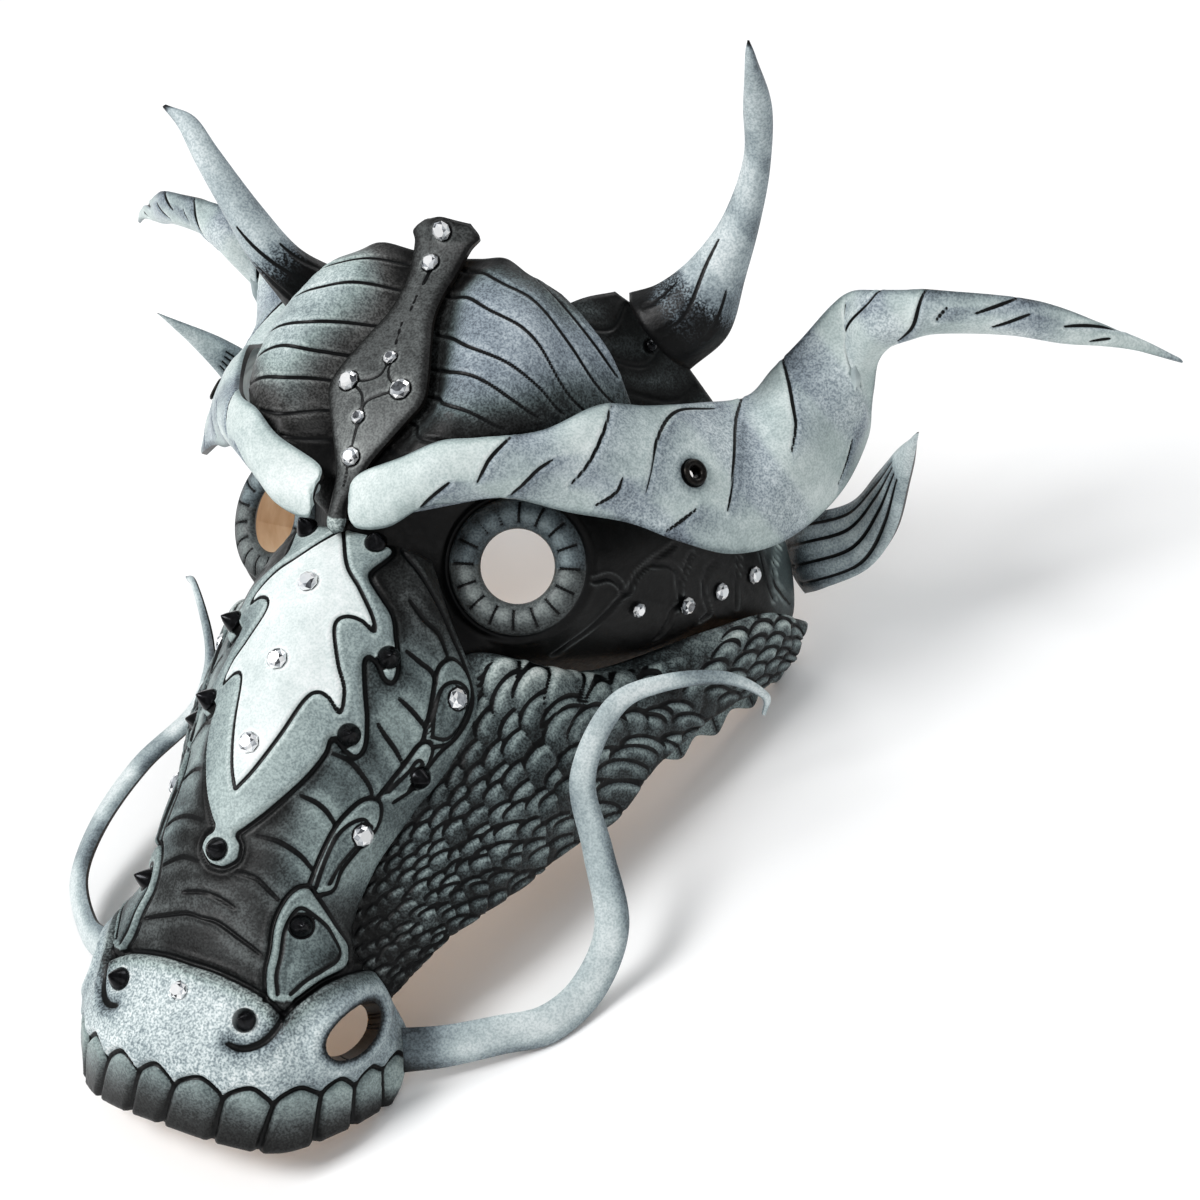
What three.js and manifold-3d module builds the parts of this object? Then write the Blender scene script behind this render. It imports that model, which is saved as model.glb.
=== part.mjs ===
// A hand-made dragon mask of moulded, carved and painted leather, lying as it does when it is put down.
// Millimetres, +Z up. Inside the worn group +X is the dragon's left, -Y is forward and +Z is up, and
// the origin is the small knob between the brows.
import * as THREE from 'three';
import { mergeVertices } from 'three/addons/utils/BufferGeometryUtils.js';
import Module from 'manifold-3d';

const wasm = await Module();
wasm.setup();

// Driving dimensions
const restPitch = 23.05; // degrees, face tipped up, as the mask lies on its nose corners and jaw ends
const leather = 3.2; // thickness of the moulded pieces
const thinLeather = 2.6; // thickness of horns, ears and whiskers
const stoneGap = 0.35; // between a stone and the leather under it
const stoneRadius = 3.6;
const stoneHeight = 2.4;
const spikeRadius = 3.8;
const spikeHeight = 5;
const eyeHoleRadius = 11.9;
const eyeRingRadius = 23.5;
const eyeRingHeight = 5;
const eyeStrokes = 15;
const strokeHeight = 0.8;
const scaleHeight = 1.2;
const eyeCentre = [49.4, 31, -18.4];
const eyeFacing = [0.33, -0.87, 0.37];
const nostrilCentre = [49, -72, -139];
const nostrilSize = [22, 13, 24]; // long, wide, and deep enough to pass the wall
const nostrilFacing = [0.92, -0.3, 0.25];
const nostrilLean = new THREE.Vector3(-0.32, -0.22, 0.92);
const eyeletBore = 2; // radius
const eyeletFlange = 4.5; // radius
const eyeletHole = 3; // radius of the hole in the leather
const eyeletGap = 0.45; // under the flange, because the leather curves
const rivetRadius = 2.4;
const rivetHeight = 2.2;

// The snout's own axes: down its length, and out of its ridge
const snoutAlong = new THREE.Vector3(0, -0.6, -0.8);
const snoutUp = new THREE.Vector3(0, -0.8, 0.6);

const paleTeal = { color: '#c9d3d4', roughness: 0.6, metalness: 0 };
const greyBrow = { color: '#858b92', roughness: 0.6, metalness: 0 };
const darkLeather = { color: '#33383a', roughness: 0.5, metalness: 0 };
const scaleLeather = { color: '#6d7675', roughness: 0.6, metalness: 0 };
const clearStone = { color: '#f4f6f8', roughness: 0.05, metalness: 0 };
const brass = { color: '#4a4238', roughness: 0.4, metalness: 0.8 };
const blackMetal = { color: '#17181a', roughness: 0.3, metalness: 0.8 };

const worn = new THREE.Group();

function addPiece(name, geometry, paint) {
  const mesh = new THREE.Mesh(geometry, new THREE.MeshStandardMaterial(paint));
  mesh.name = name;
  worn.add(mesh);
}

function vectors(points) {
  return points.map((p) => new THREE.Vector3(...p));
}

function smooth(points, t, closed = false) {
  return new THREE.CatmullRomCurve3(points, closed, 'catmullrom', 0.5).getPoint(t);
}

// Rows of guide points made into a smooth surface: u runs along a row, v from row to row
function surface(rows) {
  const guides = rows.map(vectors);
  return (u, v) => smooth(guides.map((row) => smooth(row, u)), v);
}

// A surface given thickness as one closed body. Relief is a height in mm over the surface.
function sheet(place, { across, along, thickness, relief = () => 0, ring = false }) {
  const columns = ring ? across : across + 1;
  const step = 1e-3;
  const position = [];
  const under = [];
  for (let j = 0; j <= along; j += 1) {
    for (let i = 0; i < columns; i += 1) {
      const u = i / across;
      const v = j / along;
      const here = place(u, v);
      const u0 = ring ? u - step : Math.max(u - step, 0);
      const u1 = ring ? u + step : Math.min(u + step, 1);
      const du = place(u1, v).sub(place(u0, v));
      const dv = place(u, Math.min(v + step, 1)).sub(place(u, Math.max(v - step, 0)));
      const out = du.cross(dv).normalize();
      const high = here.clone().addScaledVector(out, relief(u, v, here));
      const low = here.clone().addScaledVector(out, -thickness);
      position.push(high.x, high.y, high.z);
      under.push(low.x, low.y, low.z);
    }
  }
  const count = position.length / 3;
  const index = [];
  const quad = (a, b, c, d) => index.push(a, b, c, a, c, d);
  const quadTurned = (a, b, c, d) => index.push(b, c, d, b, d, a);
  for (let j = 0; j < along; j += 1) {
    for (let i = 0; i < across; i += 1) {
      const next = (i + 1) % columns;
      const a = j * columns + i;
      const b = j * columns + next;
      const c = (j + 1) * columns + next;
      const d = (j + 1) * columns + i;
      if ((i + j) % 2) quadTurned(a, b, c, d);
      else quad(a, b, c, d);
      quad(d + count, c + count, b + count, a + count);
    }
  }
  for (let i = 0; i < across; i += 1) {
    const next = (i + 1) % columns;
    const last = along * columns;
    quad(next, i, i + count, next + count);
    quad(last + i, last + next, last + next + count, last + i + count);
  }
  for (let j = 0; j < along && !ring; j += 1) {
    const a = j * columns;
    const b = a + columns;
    quad(a, b, b + count, a + count);
    quad(b + columns - 1, a + columns - 1, a + columns - 1 + count, b + columns - 1 + count);
  }
  return closedGeometry([...position, ...under], index);
}

function closedGeometry(position, index) {
  const geometry = new THREE.BufferGeometry();
  geometry.setAttribute('position', new THREE.Float32BufferAttribute(position, 3));
  geometry.setIndex(index);
  return volume(geometry) < 0 ? turnedInsideOut(geometry) : geometry;
}

function volume(geometry) {
  const corner = geometry.attributes.position;
  const index = geometry.index;
  const [a, b, c] = vectors([[0, 0, 0], [0, 0, 0], [0, 0, 0]]);
  let sum = 0;
  for (let i = 0; i < index.count; i += 3) {
    a.fromBufferAttribute(corner, index.getX(i));
    b.fromBufferAttribute(corner, index.getX(i + 1));
    c.fromBufferAttribute(corner, index.getX(i + 2));
    sum += a.dot(b.cross(c)) / 6;
  }
  return sum;
}

function turnedInsideOut(geometry) {
  const corners = Array.from(geometry.index.array);
  for (let i = 0; i < corners.length; i += 3) {
    [corners[i], corners[i + 1]] = [corners[i + 1], corners[i]];
  }
  geometry.setIndex(corners);
  return geometry;
}

function mirrored(geometry) {
  const copy = geometry.clone();
  copy.scale(-1, 1, 1);
  return turnedInsideOut(copy);
}

function addPair(name, geometry, paint) {
  addPiece(`${name}_left`, geometry, paint);
  addPiece(`${name}_right`, mirrored(geometry), paint);
}

function bothHalves(half) {
  const other = half.slice(1).map(([x, y, z]) => [-x, y, z]);
  return [...other.reverse(), ...half];
}

// Only the positions are kept, so that corners which share a place can be merged
function bare(geometry) {
  const copy = geometry.clone();
  copy.deleteAttribute('normal');
  copy.deleteAttribute('uv');
  return copy;
}

// Boolean cut of one closed geometry by another
function cutAway(geometry, tool) {
  const solids = [geometry, tool].map((source) => {
    const merged = mergeVertices(bare(source), 1e-4);
    const vertProperties = new Float32Array(merged.attributes.position.array);
    const triVerts = new Uint32Array(merged.index.array);
    return new wasm.Manifold(new wasm.Mesh({ numProp: 3, vertProperties, triVerts }));
  });
  const mesh = solids[0].subtract(solids[1]).getMesh();
  return closedGeometry(Array.from(mesh.vertProperties), Array.from(mesh.triVerts));
}

// Turns a geometry built along +Z so that it faces along a direction at a place
function placed(geometry, at, facing) {
  const turn = new THREE.Quaternion().setFromUnitVectors(new THREE.Vector3(0, 0, 1), facing);
  return geometry.clone().applyQuaternion(turn).translate(at.x, at.y, at.z);
}

// The point of a surface nearest to a place, and the way the surface faces there
function nearest(place, target, facing) {
  const goal = new THREE.Vector3(...target);
  let best = { u: 0.5, v: 0.5, distance: Infinity };
  let reach = 0.5;
  for (let pass = 0; pass < 8; pass += 1) {
    const centre = { ...best };
    for (let i = -8; i <= 8; i += 1) {
      for (let j = -8; j <= 8; j += 1) {
        const u = THREE.MathUtils.clamp(centre.u + (i * reach) / 8, 0, 1);
        const v = THREE.MathUtils.clamp(centre.v + (j * reach) / 8, 0, 1);
        const distance = place(u, v).distanceTo(goal);
        if (distance < best.distance) best = { u, v, distance };
      }
    }
    reach /= 3;
  }
  const { u, v } = best;
  const step = 0.01;
  const du = place(Math.min(u + step, 1), v).sub(place(Math.max(u - step, 0), v));
  const dv = place(u, Math.min(v + step, 1)).sub(place(u, Math.max(v - step, 0)));
  const out = du.cross(dv).normalize();
  if (out.dot(new THREE.Vector3(...facing)) < 0) out.negate();
  return { at: place(u, v), out };
}

function lathe(profile, segments) {
  return new THREE.LatheGeometry(profile.map(([r, h]) => new THREE.Vector2(r, h)), segments)
    .rotateX(Math.PI / 2);
}

// A strip of leather curled about its length. Each station is its middle point, the way its face
// looks, its width in mm along the curl, and the curl in degrees.
function curledStrip(stations) {
  const path = vectors(stations.map((station) => station.at));
  const rows = stations.map(({ looks, width, curl }, index) => {
    const before = path[Math.max(index - 1, 0)];
    const after = path[Math.min(index + 1, path.length - 1)];
    const tangent = after.clone().sub(before).normalize();
    const out = new THREE.Vector3(...looks);
    out.addScaledVector(tangent, -out.dot(tangent)).normalize();
    const side = tangent.clone().cross(out);
    const arc = THREE.MathUtils.degToRad(curl);
    const radius = width / arc;
    return [-0.5, -0.25, 0, 0.25, 0.5].map((part) => {
      const angle = part * arc;
      const point = path[index].clone();
      point.addScaledVector(side, radius * Math.sin(angle));
      point.addScaledVector(out, radius * (Math.cos(angle) - 1));
      return point.toArray();
    });
  });
  return surface(rows);
}

// Snout: cross-sections down its length, each a half superellipse from the ridge to the edge
const snoutStations = [
  { along: 3, ridge: -7, half: 27, drop: 14, back: 0, square: 2 },
  { along: 20, ridge: 1, half: 37, drop: 27, back: -1, square: 1.7 },
  { along: 42, ridge: 4, half: 50, drop: 41, back: 0, square: 1.5 },
  { along: 65, ridge: 4.8, half: 49, drop: 40, back: 0, square: 1.5 },
  { along: 90, ridge: 4, half: 43, drop: 35, back: -4, square: 1.7 },
  { along: 112, ridge: 2.4, half: 39, drop: 29, back: -6, square: 2.1 },
  { along: 130, ridge: 0.5, half: 38, drop: 29, back: -3, square: 2.3 },
  { along: 142, ridge: -0.5, half: 48, drop: 38, back: -2, square: 2.3 },
  { along: 160, ridge: -2.5, half: 55, drop: 48, back: -8, square: 2.4 },
  { along: 180, ridge: 0, half: 56, drop: 54, back: -15, square: 2.1 },
  { along: 199, ridge: -13, half: 56, drop: 39, back: -26, square: 1.9 },
];

function snoutSection({ along, ridge, half, drop, back, square }) {
  const points = [0, 25, 45, 65, 90].map((degrees) => {
    const angle = THREE.MathUtils.degToRad(degrees);
    const x = half * Math.sin(angle) ** (2 / square);
    const down = drop * (1 - Math.cos(angle) ** (2 / square));
    const point = snoutAlong.clone().multiplyScalar(along + back * (x / half) ** 6);
    point.addScaledVector(snoutUp, ridge - down);
    return [x, point.y, point.z];
  });
  return bothHalves(points).reverse();
}

const snoutSurface = surface(snoutStations.map(snoutSection));

// Outlines of the carving on the snout, each as how far out from the ridge it reaches (0 to 0.5)
// down its length (0 to 1)
const zigzagOutline = [
  [0, 0.22], [0.02, 0.23], [0.07, 0.17], [0.13, 0.25], [0.21, 0.26], [0.215, 0.19], [0.25, 0.21],
  [0.32, 0.255], [0.335, 0.18], [0.38, 0.155], [0.43, 0.1], [0.47, 0.048], [0.515, 0.05], [0.535, 0],
];
const nosePlateTop = [[0, 0.743], [0.1, 0.745], [0.185, 0.78], [0.23, 0.75], [0.29, 0.717], [0.39, 0.68], [0.5, 0.66]];
const gumLine = [[0, 0.91], [0.15, 0.908], [0.27, 0.9], [0.36, 0.89], [0.42, 0.863], [0.47, 0.823], [0.5, 0.8]];
const toothEdges = [0, 0.103, 0.197, 0.31, 0.397, 0.475, 0.55];
const plateHeight = 2;
const toothHeight = 1.5;

// Height read off a broken line
function readOff(line, at) {
  const next = line.findIndex(([place]) => place >= at);
  if (next < 0) return line[line.length - 1][1];
  if (next === 0) return line[0][1];
  const [a, heightA] = line[next - 1];
  const [b, heightB] = line[next];
  return THREE.MathUtils.mapLinear(at, a, b, heightA, heightB);
}

function snoutRelief(u, v) {
  const out = Math.abs(u - 0.5);
  const rise = (edge, width) => THREE.MathUtils.smoothstep(edge, 0, width);
  if (v < 0.535) return plateHeight * rise(readOff(zigzagOutline, v) - out, 0.03);
  const plate = plateHeight * rise(v - readOff(nosePlateTop, out), 0.02);
  const belowGum = rise(v - readOff(gumLine, out), 0.02);
  const tooth = toothEdges.findIndex((edge) => edge > out);
  const part = THREE.MathUtils.inverseLerp(toothEdges[tooth - 1], toothEdges[tooth], out);
  return plate * (1 - belowGum) + toothHeight * Math.sin(Math.PI * part) * belowGum;
}

function buildSnout() {
  const solid = sheet(snoutSurface, { across: 28, along: 32, thickness: leather, relief: snoutRelief });
  const onLeft = nostrilTool();
  return cutAway(cutAway(solid, onLeft), mirrored(onLeft));
}

// Oval bar that cuts the left nostril through the side of the nose
function nostrilTool() {
  const [long, wide, deep] = nostrilSize;
  const bar = new THREE.CylinderGeometry(0.5, 0.5, 1, 14).scale(long, deep, wide).rotateX(Math.PI / 2);
  const axes = new THREE.Matrix4().lookAt(new THREE.Vector3(...nostrilFacing), new THREE.Vector3(), nostrilLean);
  return mergeVertices(bare(bar)).applyMatrix4(axes).translate(...nostrilCentre);
}

// Forehead: two low domes with a valley between them for the crest
const foreheadRows = [
  [[0, 2.5, -1], [8, 4, -1], [22, 13, 1], [40, 28, 4], [55, 42, 5.5], [77, 76, 2]],
  [[0, 11, 14], [8, 11, 15], [24, 5, 20], [46, 17.5, 24], [63, 47, 21], [74, 76, 13]],
  [[0, 25.5, 32], [19.5, 26.5, 33], [32, 17, 38], [49, 26, 40], [61, 48, 36], [70, 72, 30]],
  [[0, 40, 46], [14, 41, 47], [30, 32, 54], [46, 42, 56], [56, 57, 51], [63, 71, 46]],
  [[0, 56, 61], [10, 56, 62], [25, 51, 69], [39, 57, 68], [47, 65, 62], [53, 71, 57]],
  [[0, 68, 72], [13, 69, 73], [25, 67, 75], [34, 68, 70], [39, 70, 67], [44, 71, 64]],
];
const foreheadSurface = surface(foreheadRows.map(bothHalves));

function buildForehead() {
  return sheet(foreheadSurface, { across: 20, along: 10, thickness: leather });
}

// Crest: from the knob between the brows up to the round-ended top
const crestRows = [
  [[0, -3, -5], [3, -2, -4]],
  [[0, -3, -1], [4, -1, -1]],
  [[0, 0, 5], [3.5, 1, 5]],
  [[0, 5.5, 11.5], [5, 6.5, 11.5]],
  [[0, 9, 18], [7.5, 10, 18]],
  [[0, 17.5, 30], [15.3, 19, 30]],
  [[0, 22.5, 36], [18.5, 24, 36]],
  [[0, 28, 42], [17, 29.5, 42]],
  [[0, 37, 50], [12.7, 38, 50]],
  [[0, 45, 57], [9, 46, 57]],
  [[0, 52, 63.5], [8.2, 53, 63]],
  [[0, 59, 69.5], [9.2, 60, 69]],
  [[0, 65, 77], [11, 66, 76.5]],
  [[0, 65, 82], [13.5, 69, 80]],
  [[0, 66, 86], [9, 71, 84]],
];
const crestSurface = surface(crestRows.map(bothHalves));

function buildCrest() {
  return sheet(crestSurface, { across: 4, along: 20, thickness: thinLeather });
}

// Eye mask: a domed ring round the eye hole, running out to the edge of the temple
const eyeMaskOutline = vectors([
  [26, 24, -6], [37, 33, 4], [50, 44, 6], [66, 64, 2], [78, 95, -5], [94, 138, -28],
  [98, 149, -66], [95, 120, -58], [84, 80, -55], [61, 50, -59], [50, 22, -48], [41, 16, -41], [33, 18, -24],
]);
const eyeOut = new THREE.Vector3(...eyeFacing).normalize();
const eyeDown = new THREE.Vector3(0, 0, -1).addScaledVector(eyeOut, eyeOut.z).normalize();
const eyeAside = new THREE.Vector3().crossVectors(eyeDown, eyeOut);

function eyeMaskSurface(u, v) {
  const centre = new THREE.Vector3(...eyeCentre);
  const edge = smooth(eyeMaskOutline, ((u % 1) + 1) % 1, true);
  const toEdge = edge.clone().sub(centre);
  const angle = Math.atan2(toEdge.dot(eyeDown), toEdge.dot(eyeAside));
  const onRing = (radius, height) => {
    const point = centre.clone().addScaledVector(eyeAside, radius * Math.cos(angle));
    return point.addScaledVector(eyeDown, radius * Math.sin(angle)).addScaledVector(eyeOut, height);
  };
  const ringPart = 0.5;
  if (v <= ringPart) {
    const part = v / ringPart;
    const radius = THREE.MathUtils.lerp(eyeHoleRadius, eyeRingRadius, part);
    return onRing(radius, eyeRingHeight * (Math.sin(Math.PI * (0.25 + 0.75 * part)) - 0.7 * (1 - part)));
  }
  const part = (v - ringPart) / (1 - ringPart);
  const point = onRing(eyeRingRadius, 0).lerp(edge, part);
  const bulge = 0.05 * Math.max(toEdge.length() - eyeRingRadius, 0);
  const sideways = new THREE.Vector3(0.9, -0.4, 0);
  return point.addScaledVector(sideways, bulge * 4 * part * (1 - part));
}

// Beaded strokes stamped round the eye
function eyeRelief(u, v) {
  return v > 0.1 && v < 0.5 ? strokeHeight * Math.cos(Math.PI * eyeStrokes * u) ** 2 : 0;
}

function buildEyeMask() {
  const across = eyeStrokes * 2;
  return sheet(eyeMaskSurface, { across, along: 6, thickness: leather, relief: eyeRelief, ring: true });
}

// Cheek: from under the snout's edge and the eye mask down to the jaw, row by row to the back
const cheekRows = [
  [[33, -50, -116], [40, -53, -122], [46, -51, -129], [50, -47, -136]],
  [[32, -34, -100], [44, -38, -104], [54, -36, -115], [58, -33, -126]],
  [[34, -18, -88], [50, -22, -90], [61, -18, -105], [64, -19, -121]],
  [[38, 0, -77], [58, -6, -77], [69, 0, -95], [69, 1, -118]],
  [[42, 10, -64], [60, 8, -64], [75, 18, -88], [75, 20, -112]],
  [[46, 12.5, -46], [65, 24, -54], [80, 39, -76], [83, 39, -107]],
  [[64, 47, -59], [78, 53, -62], [88, 60, -76], [90, 58, -92]],
  [[92, 87.5, -53.5], [97, 89, -61], [99, 93, -72], [98, 93, -84]],
  [[101, 118, -56], [104, 118, -63], [104, 118, -73], [102, 118, -84]],
  [[104.5, 146, -69], [105, 143, -72], [105, 139, -75], [105, 136, -80]],
];
const cheekSurface = surface(cheekRows);

// Every other corner of the mesh is raised, which gives rows of diamond scales
function buildCheek() {
  const across = 8;
  const along = 22;
  const relief = (u, v) => (Math.round(u * across + v * along) % 2) * scaleHeight;
  return sheet(cheekSurface, { across, along, thickness: leather, relief });
}

// Thin strip of points that stands out behind the cheek's rear edge
const frillRows = [
  [[85.5, 60, -87], [87.5, 62, -93]],
  [[88.5, 69, -85], [90.5, 73, -97]],
  [[90.5, 78, -83], [92.5, 80, -91]],
  [[92.5, 88, -82], [94.5, 93, -95]],
  [[94.5, 98, -80], [96.5, 100, -88]],
  [[96.5, 108, -79], [98.5, 114, -92]],
  [[97.5, 118, -79], [99.5, 120, -86]],
  [[98.5, 126, -77], [100.5, 132, -88]],
  [[99.5, 134, -76], [101.5, 139, -83]],
];
const frillSurface = surface(frillRows);

function buildFrill() {
  return sheet(frillSurface, { across: 2, along: 12, thickness: 2 });
}

// Crown band: dark strip behind the forehead that carries the crown horn
const crownBandRows = [
  [[54, 90, 62], [48, 78, 61.5], [40, 66, 57.5]],
  [[65, 96, 52], [58, 81, 50], [50, 68, 53]],
  [[75, 104, 35], [68, 88, 35], [61, 70, 38]],
  [[83, 112, 19], [78, 96, 18], [67, 73, 22]],
];
const crownBandSurface = surface(crownBandRows);

function buildCrownBand() {
  return sheet(crownBandSurface, { across: 3, along: 6, thickness: thinLeather });
}

// Strips between two edges: a point on either edge, and how far the middle stands out between them
function archedStrip(stations) {
  const middles = stations.map(([upper, lower]) => vectors([upper, lower])).map(([a, b]) => a.lerp(b, 0.5));
  const rows = stations.map(([upper, lower, rise], index) => {
    const before = middles[Math.max(index - 1, 0)];
    const after = middles[Math.min(index + 1, middles.length - 1)];
    const tangent = after.clone().sub(before);
    const chord = new THREE.Vector3(...lower).sub(new THREE.Vector3(...upper));
    const half = chord.length() / 2;
    const out = chord.clone().cross(tangent).normalize();
    const radius = (half * half + rise * rise) / (2 * rise);
    const opening = 2 * Math.atan(rise / half);
    return [-1, -0.5, 0, 0.5, 1].map((part) => {
      const point = middles[index].clone();
      point.addScaledVector(chord, (radius * Math.sin(part * opening)) / (2 * half));
      point.addScaledVector(out, radius * (Math.cos(part * opening) - Math.cos(opening)));
      return point.toArray();
    });
  });
  return surface(rows);
}

// Brow horn: from beside the knob over the eye, flaring at the temple and curling out to its tip
const browHornStations = [
  [[5.8, -0.8, 12.4], [6.5, -3.5, 4], 1.5],
  [[8.5, 2.5, 16.5], [10, -4, -1], 3],
  [[24, 2, 24], [22, -3, 1], 4],
  [[36, 7, 30], [33, 1, 8], 5],
  [[47, 13, 31], [42, 8, 9], 5],
  [[60, 29, 31], [55, 17, 10], 6],
  [[71, 48, 36], [70, 30, 4], 6],
  [[79, 67, 32], [85, 43, -1], 7],
  [[86, 90, 28], [98, 53, -8], 8],
  [[92, 113, 25], [111, 68, -15], 9],
  [[99, 118, 34], [120, 92, -16], 9],
  [[107, 124, 44], [124, 125, -10], 9],
  [[116, 128, 56], [127, 141, 6], 9],
  [[123, 128, 62], [130, 137, 24], 9],
  [[134, 123, 65], [135, 130, 40], 9],
  [[144, 124, 66], [143, 134, 48], 9],
  [[153, 123, 67], [153, 140, 51], 8],
  [[176, 136, 65], [174, 145, 51], 7],
  [[190, 146, 61], [190, 155, 47], 6],
  [[208, 162, 51], [209, 161, 45], 3],
  [[224, 175, 41], [225, 175, 39], 1],
];
const browHornSurface = archedStrip(browHornStations);

const eyeletPlace = [97, 64, 12];

function buildBrowHorn() {
  const solid = sheet(browHornSurface, { across: 4, along: 26, thickness: thinLeather });
  const { at, out } = nearest(browHornSurface, eyeletPlace, [1, 0, 0]);
  const drill = new THREE.CylinderGeometry(eyeletHole, eyeletHole, 16, 12).rotateX(Math.PI / 2);
  return cutAway(solid, placed(drill, at, out));
}

// Metal eyelet through the leather, with its flat flange outside
function buildEyelet() {
  const back = -thinLeather - 1;
  const barrel = eyeletHole - 0.4;
  const flange = 1.2; // height of the flange's flat face over the surface
  const profile = [
    [eyeletBore, back], [barrel, back], [barrel, eyeletGap], [eyeletFlange, eyeletGap],
    [eyeletFlange, flange], [eyeletBore, flange], [eyeletBore, back],
  ];
  const { at, out } = nearest(browHornSurface, eyeletPlace, [1, 0, 0]);
  return placed(lathe(profile, 12), at, out);
}

// The two crown horns are shaped by hand and differ
const crownHornLeftStations = [
  [[57, 93, 61.5], [80.5, 94, 36.5], 14],
  [[68, 94, 66], [92, 100, 49], 13],
  [[78, 98, 75], [96, 104, 68], 9],
  [[87, 102, 89], [99, 108, 87], 6],
  [[94, 102, 109], [103, 106, 106], 4.5],
  [[97, 94, 127], [106, 99, 127], 4.5],
  [[103, 83, 144], [107, 84, 143], 2],
  [[105, 80, 149], [106, 80, 149], 0.5],
];
const crownHornRightStations = [
  [[-73.5, 78, 40], [-62.5, 92.5, 56], 12],
  [[-85, 71, 60], [-71, 82, 65], 10],
  [[-92, 68, 74], [-82, 76, 80], 7],
  [[-103, 66, 94], [-96, 72, 99], 5],
  [[-110, 66, 106], [-105, 71, 110], 3],
  [[-116, 66, 113], [-115, 67, 114], 0.5],
];

function buildCrownHorn(stations) {
  return sheet(archedStrip(stations), { across: 4, along: 11, thickness: 2 });
}

const earStations = [
  [[90, 156, -34], [99, 154, -62], 4],
  [[101, 150, -28], [111, 144, -54], 5],
  [[118, 148, -20], [128, 143, -43], 5],
  [[131, 141, -4], [140, 136, -25], 4],
  [[144, 126, 11], [149, 123, -1], 3],
  [[158, 105, 24], [159, 105, 24], 0.5],
];

function buildEar() {
  return sheet(archedStrip(earStations), { across: 4, along: 8, thickness: thinLeather });
}

const whiskerLeftStations = [
  { at: [59.2, -59, -152], looks: [0.3, -0.9, 0.1], width: 17, curl: 60 },
  { at: [70, -50, -152], looks: [0.3, -0.9, 0.1], width: 16, curl: 60 },
  { at: [83, -39, -150], looks: [0.3, -0.9, 0.1], width: 15, curl: 60 },
  { at: [95, -27, -148], looks: [0.3, -0.9, 0.1], width: 14.5, curl: 60 },
  { at: [102, -13, -139], looks: [0.5, -0.8, 0.1], width: 13.5, curl: 60 },
  { at: [104, -3, -121], looks: [0.5, -0.8, 0.1], width: 12.5, curl: 60 },
  { at: [94, 5, -100], looks: [0.5, -0.8, 0], width: 11, curl: 60 },
  { at: [86, 10, -78], looks: [0.5, -0.8, 0], width: 9.5, curl: 60 },
  { at: [91, 22, -57], looks: [0.5, -0.8, 0], width: 8.5, curl: 60 },
  { at: [102, 34, -51], looks: [0.4, -0.9, 0], width: 7, curl: 60 },
  { at: [117, 50, -52], looks: [0.3, -0.9, 0], width: 5.5, curl: 50 },
  { at: [126, 62, -61], looks: [0.3, -0.9, 0], width: 3.5, curl: 50 },
  { at: [124, 66, -70], looks: [0.3, -0.9, 0], width: 1.5, curl: 40 },
];
const whiskerRightStations = [
  { at: [-59.8, -58.5, -152], looks: [-0.3, -0.9, 0.1], width: 17, curl: 60 },
  { at: [-68, -55, -153], looks: [-0.3, -0.9, 0.1], width: 16, curl: 60 },
  { at: [-82, -49, -153], looks: [-0.3, -0.9, 0.1], width: 15, curl: 60 },
  { at: [-95, -38, -141], looks: [-0.3, -0.9, 0.1], width: 14, curl: 60 },
  { at: [-98, -21, -126], looks: [-0.3, -0.9, 0.1], width: 12.5, curl: 60 },
  { at: [-95, 1, -111], looks: [-0.3, -0.9, 0.1], width: 11, curl: 60 },
  { at: [-86, 20, -98], looks: [-0.3, -0.9, 0], width: 9.5, curl: 60 },
  { at: [-84, 28, -86], looks: [-0.3, -0.9, 0], width: 8.5, curl: 60 },
  { at: [-88, 35, -74], looks: [-0.3, -0.9, 0], width: 7, curl: 60 },
  { at: [-105, 50, -62], looks: [-0.3, -0.9, 0], width: 5.5, curl: 50 },
  { at: [-120, 64, -66], looks: [-0.3, -0.9, 0], width: 1.5, curl: 40 },
];

function buildWhisker(stations) {
  return sheet(curledStrip(stations), { across: 2, along: 26, thickness: 2 });
}

function stoneGeometry(radius) {
  const height = (stoneHeight * radius) / stoneRadius;
  return lathe([[0, 0], [radius, 0], [0.55 * radius, height], [0, height]], 8);
}

function spikeGeometry() {
  return lathe([[0, 0], [spikeRadius, 0], [0.7 * spikeRadius, 0.45 * spikeHeight], [0, spikeHeight]], 8);
}

function setOn(place, target, facing, geometry, relief = 0) {
  const { at, out } = nearest(place, target, facing);
  return placed(geometry, at.addScaledVector(out, relief + stoneGap), out);
}

function buildRivet() {
  const cone = lathe([[0, 0], [rivetRadius, 0], [0, rivetHeight]], 8);
  return setOn(crownBandSurface, [66, 92, 44], [1, -1, 1], cone);
}

const forward = [0, -0.8, 0.6];
const crestStones = [
  { near: [1, 65, 81.5], radius: 3.4 },
  { near: [-1, 61, 71], radius: 3.2 },
  { near: [1, 32, 46], radius: 2.4 },
  { near: [-11, 25, 38], radius: 3.6 },
  { near: [9.5, 25, 38], radius: 3.6 },
  { near: [-2, 17, 29], radius: 2.4 },
  { near: [0, 9, 18], radius: 3.2 },
];
const zigzagStones = [[0, -16, -18], [0, -34, -38], [0, -51, -60]];
const zigzagSpikes = [[13, 3, -9], [29, -16, -38], [26, -35, -58]];
const lobeStones = [[47, -4, -53], [35, -44, -87]];
const lobeSpikes = [[43, -22, -74], [30, -70, -108]];
const templeStones = [[79, 58, -37], [86, 80, -42], [90, 99, -43], [94, 119, -43]];

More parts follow.
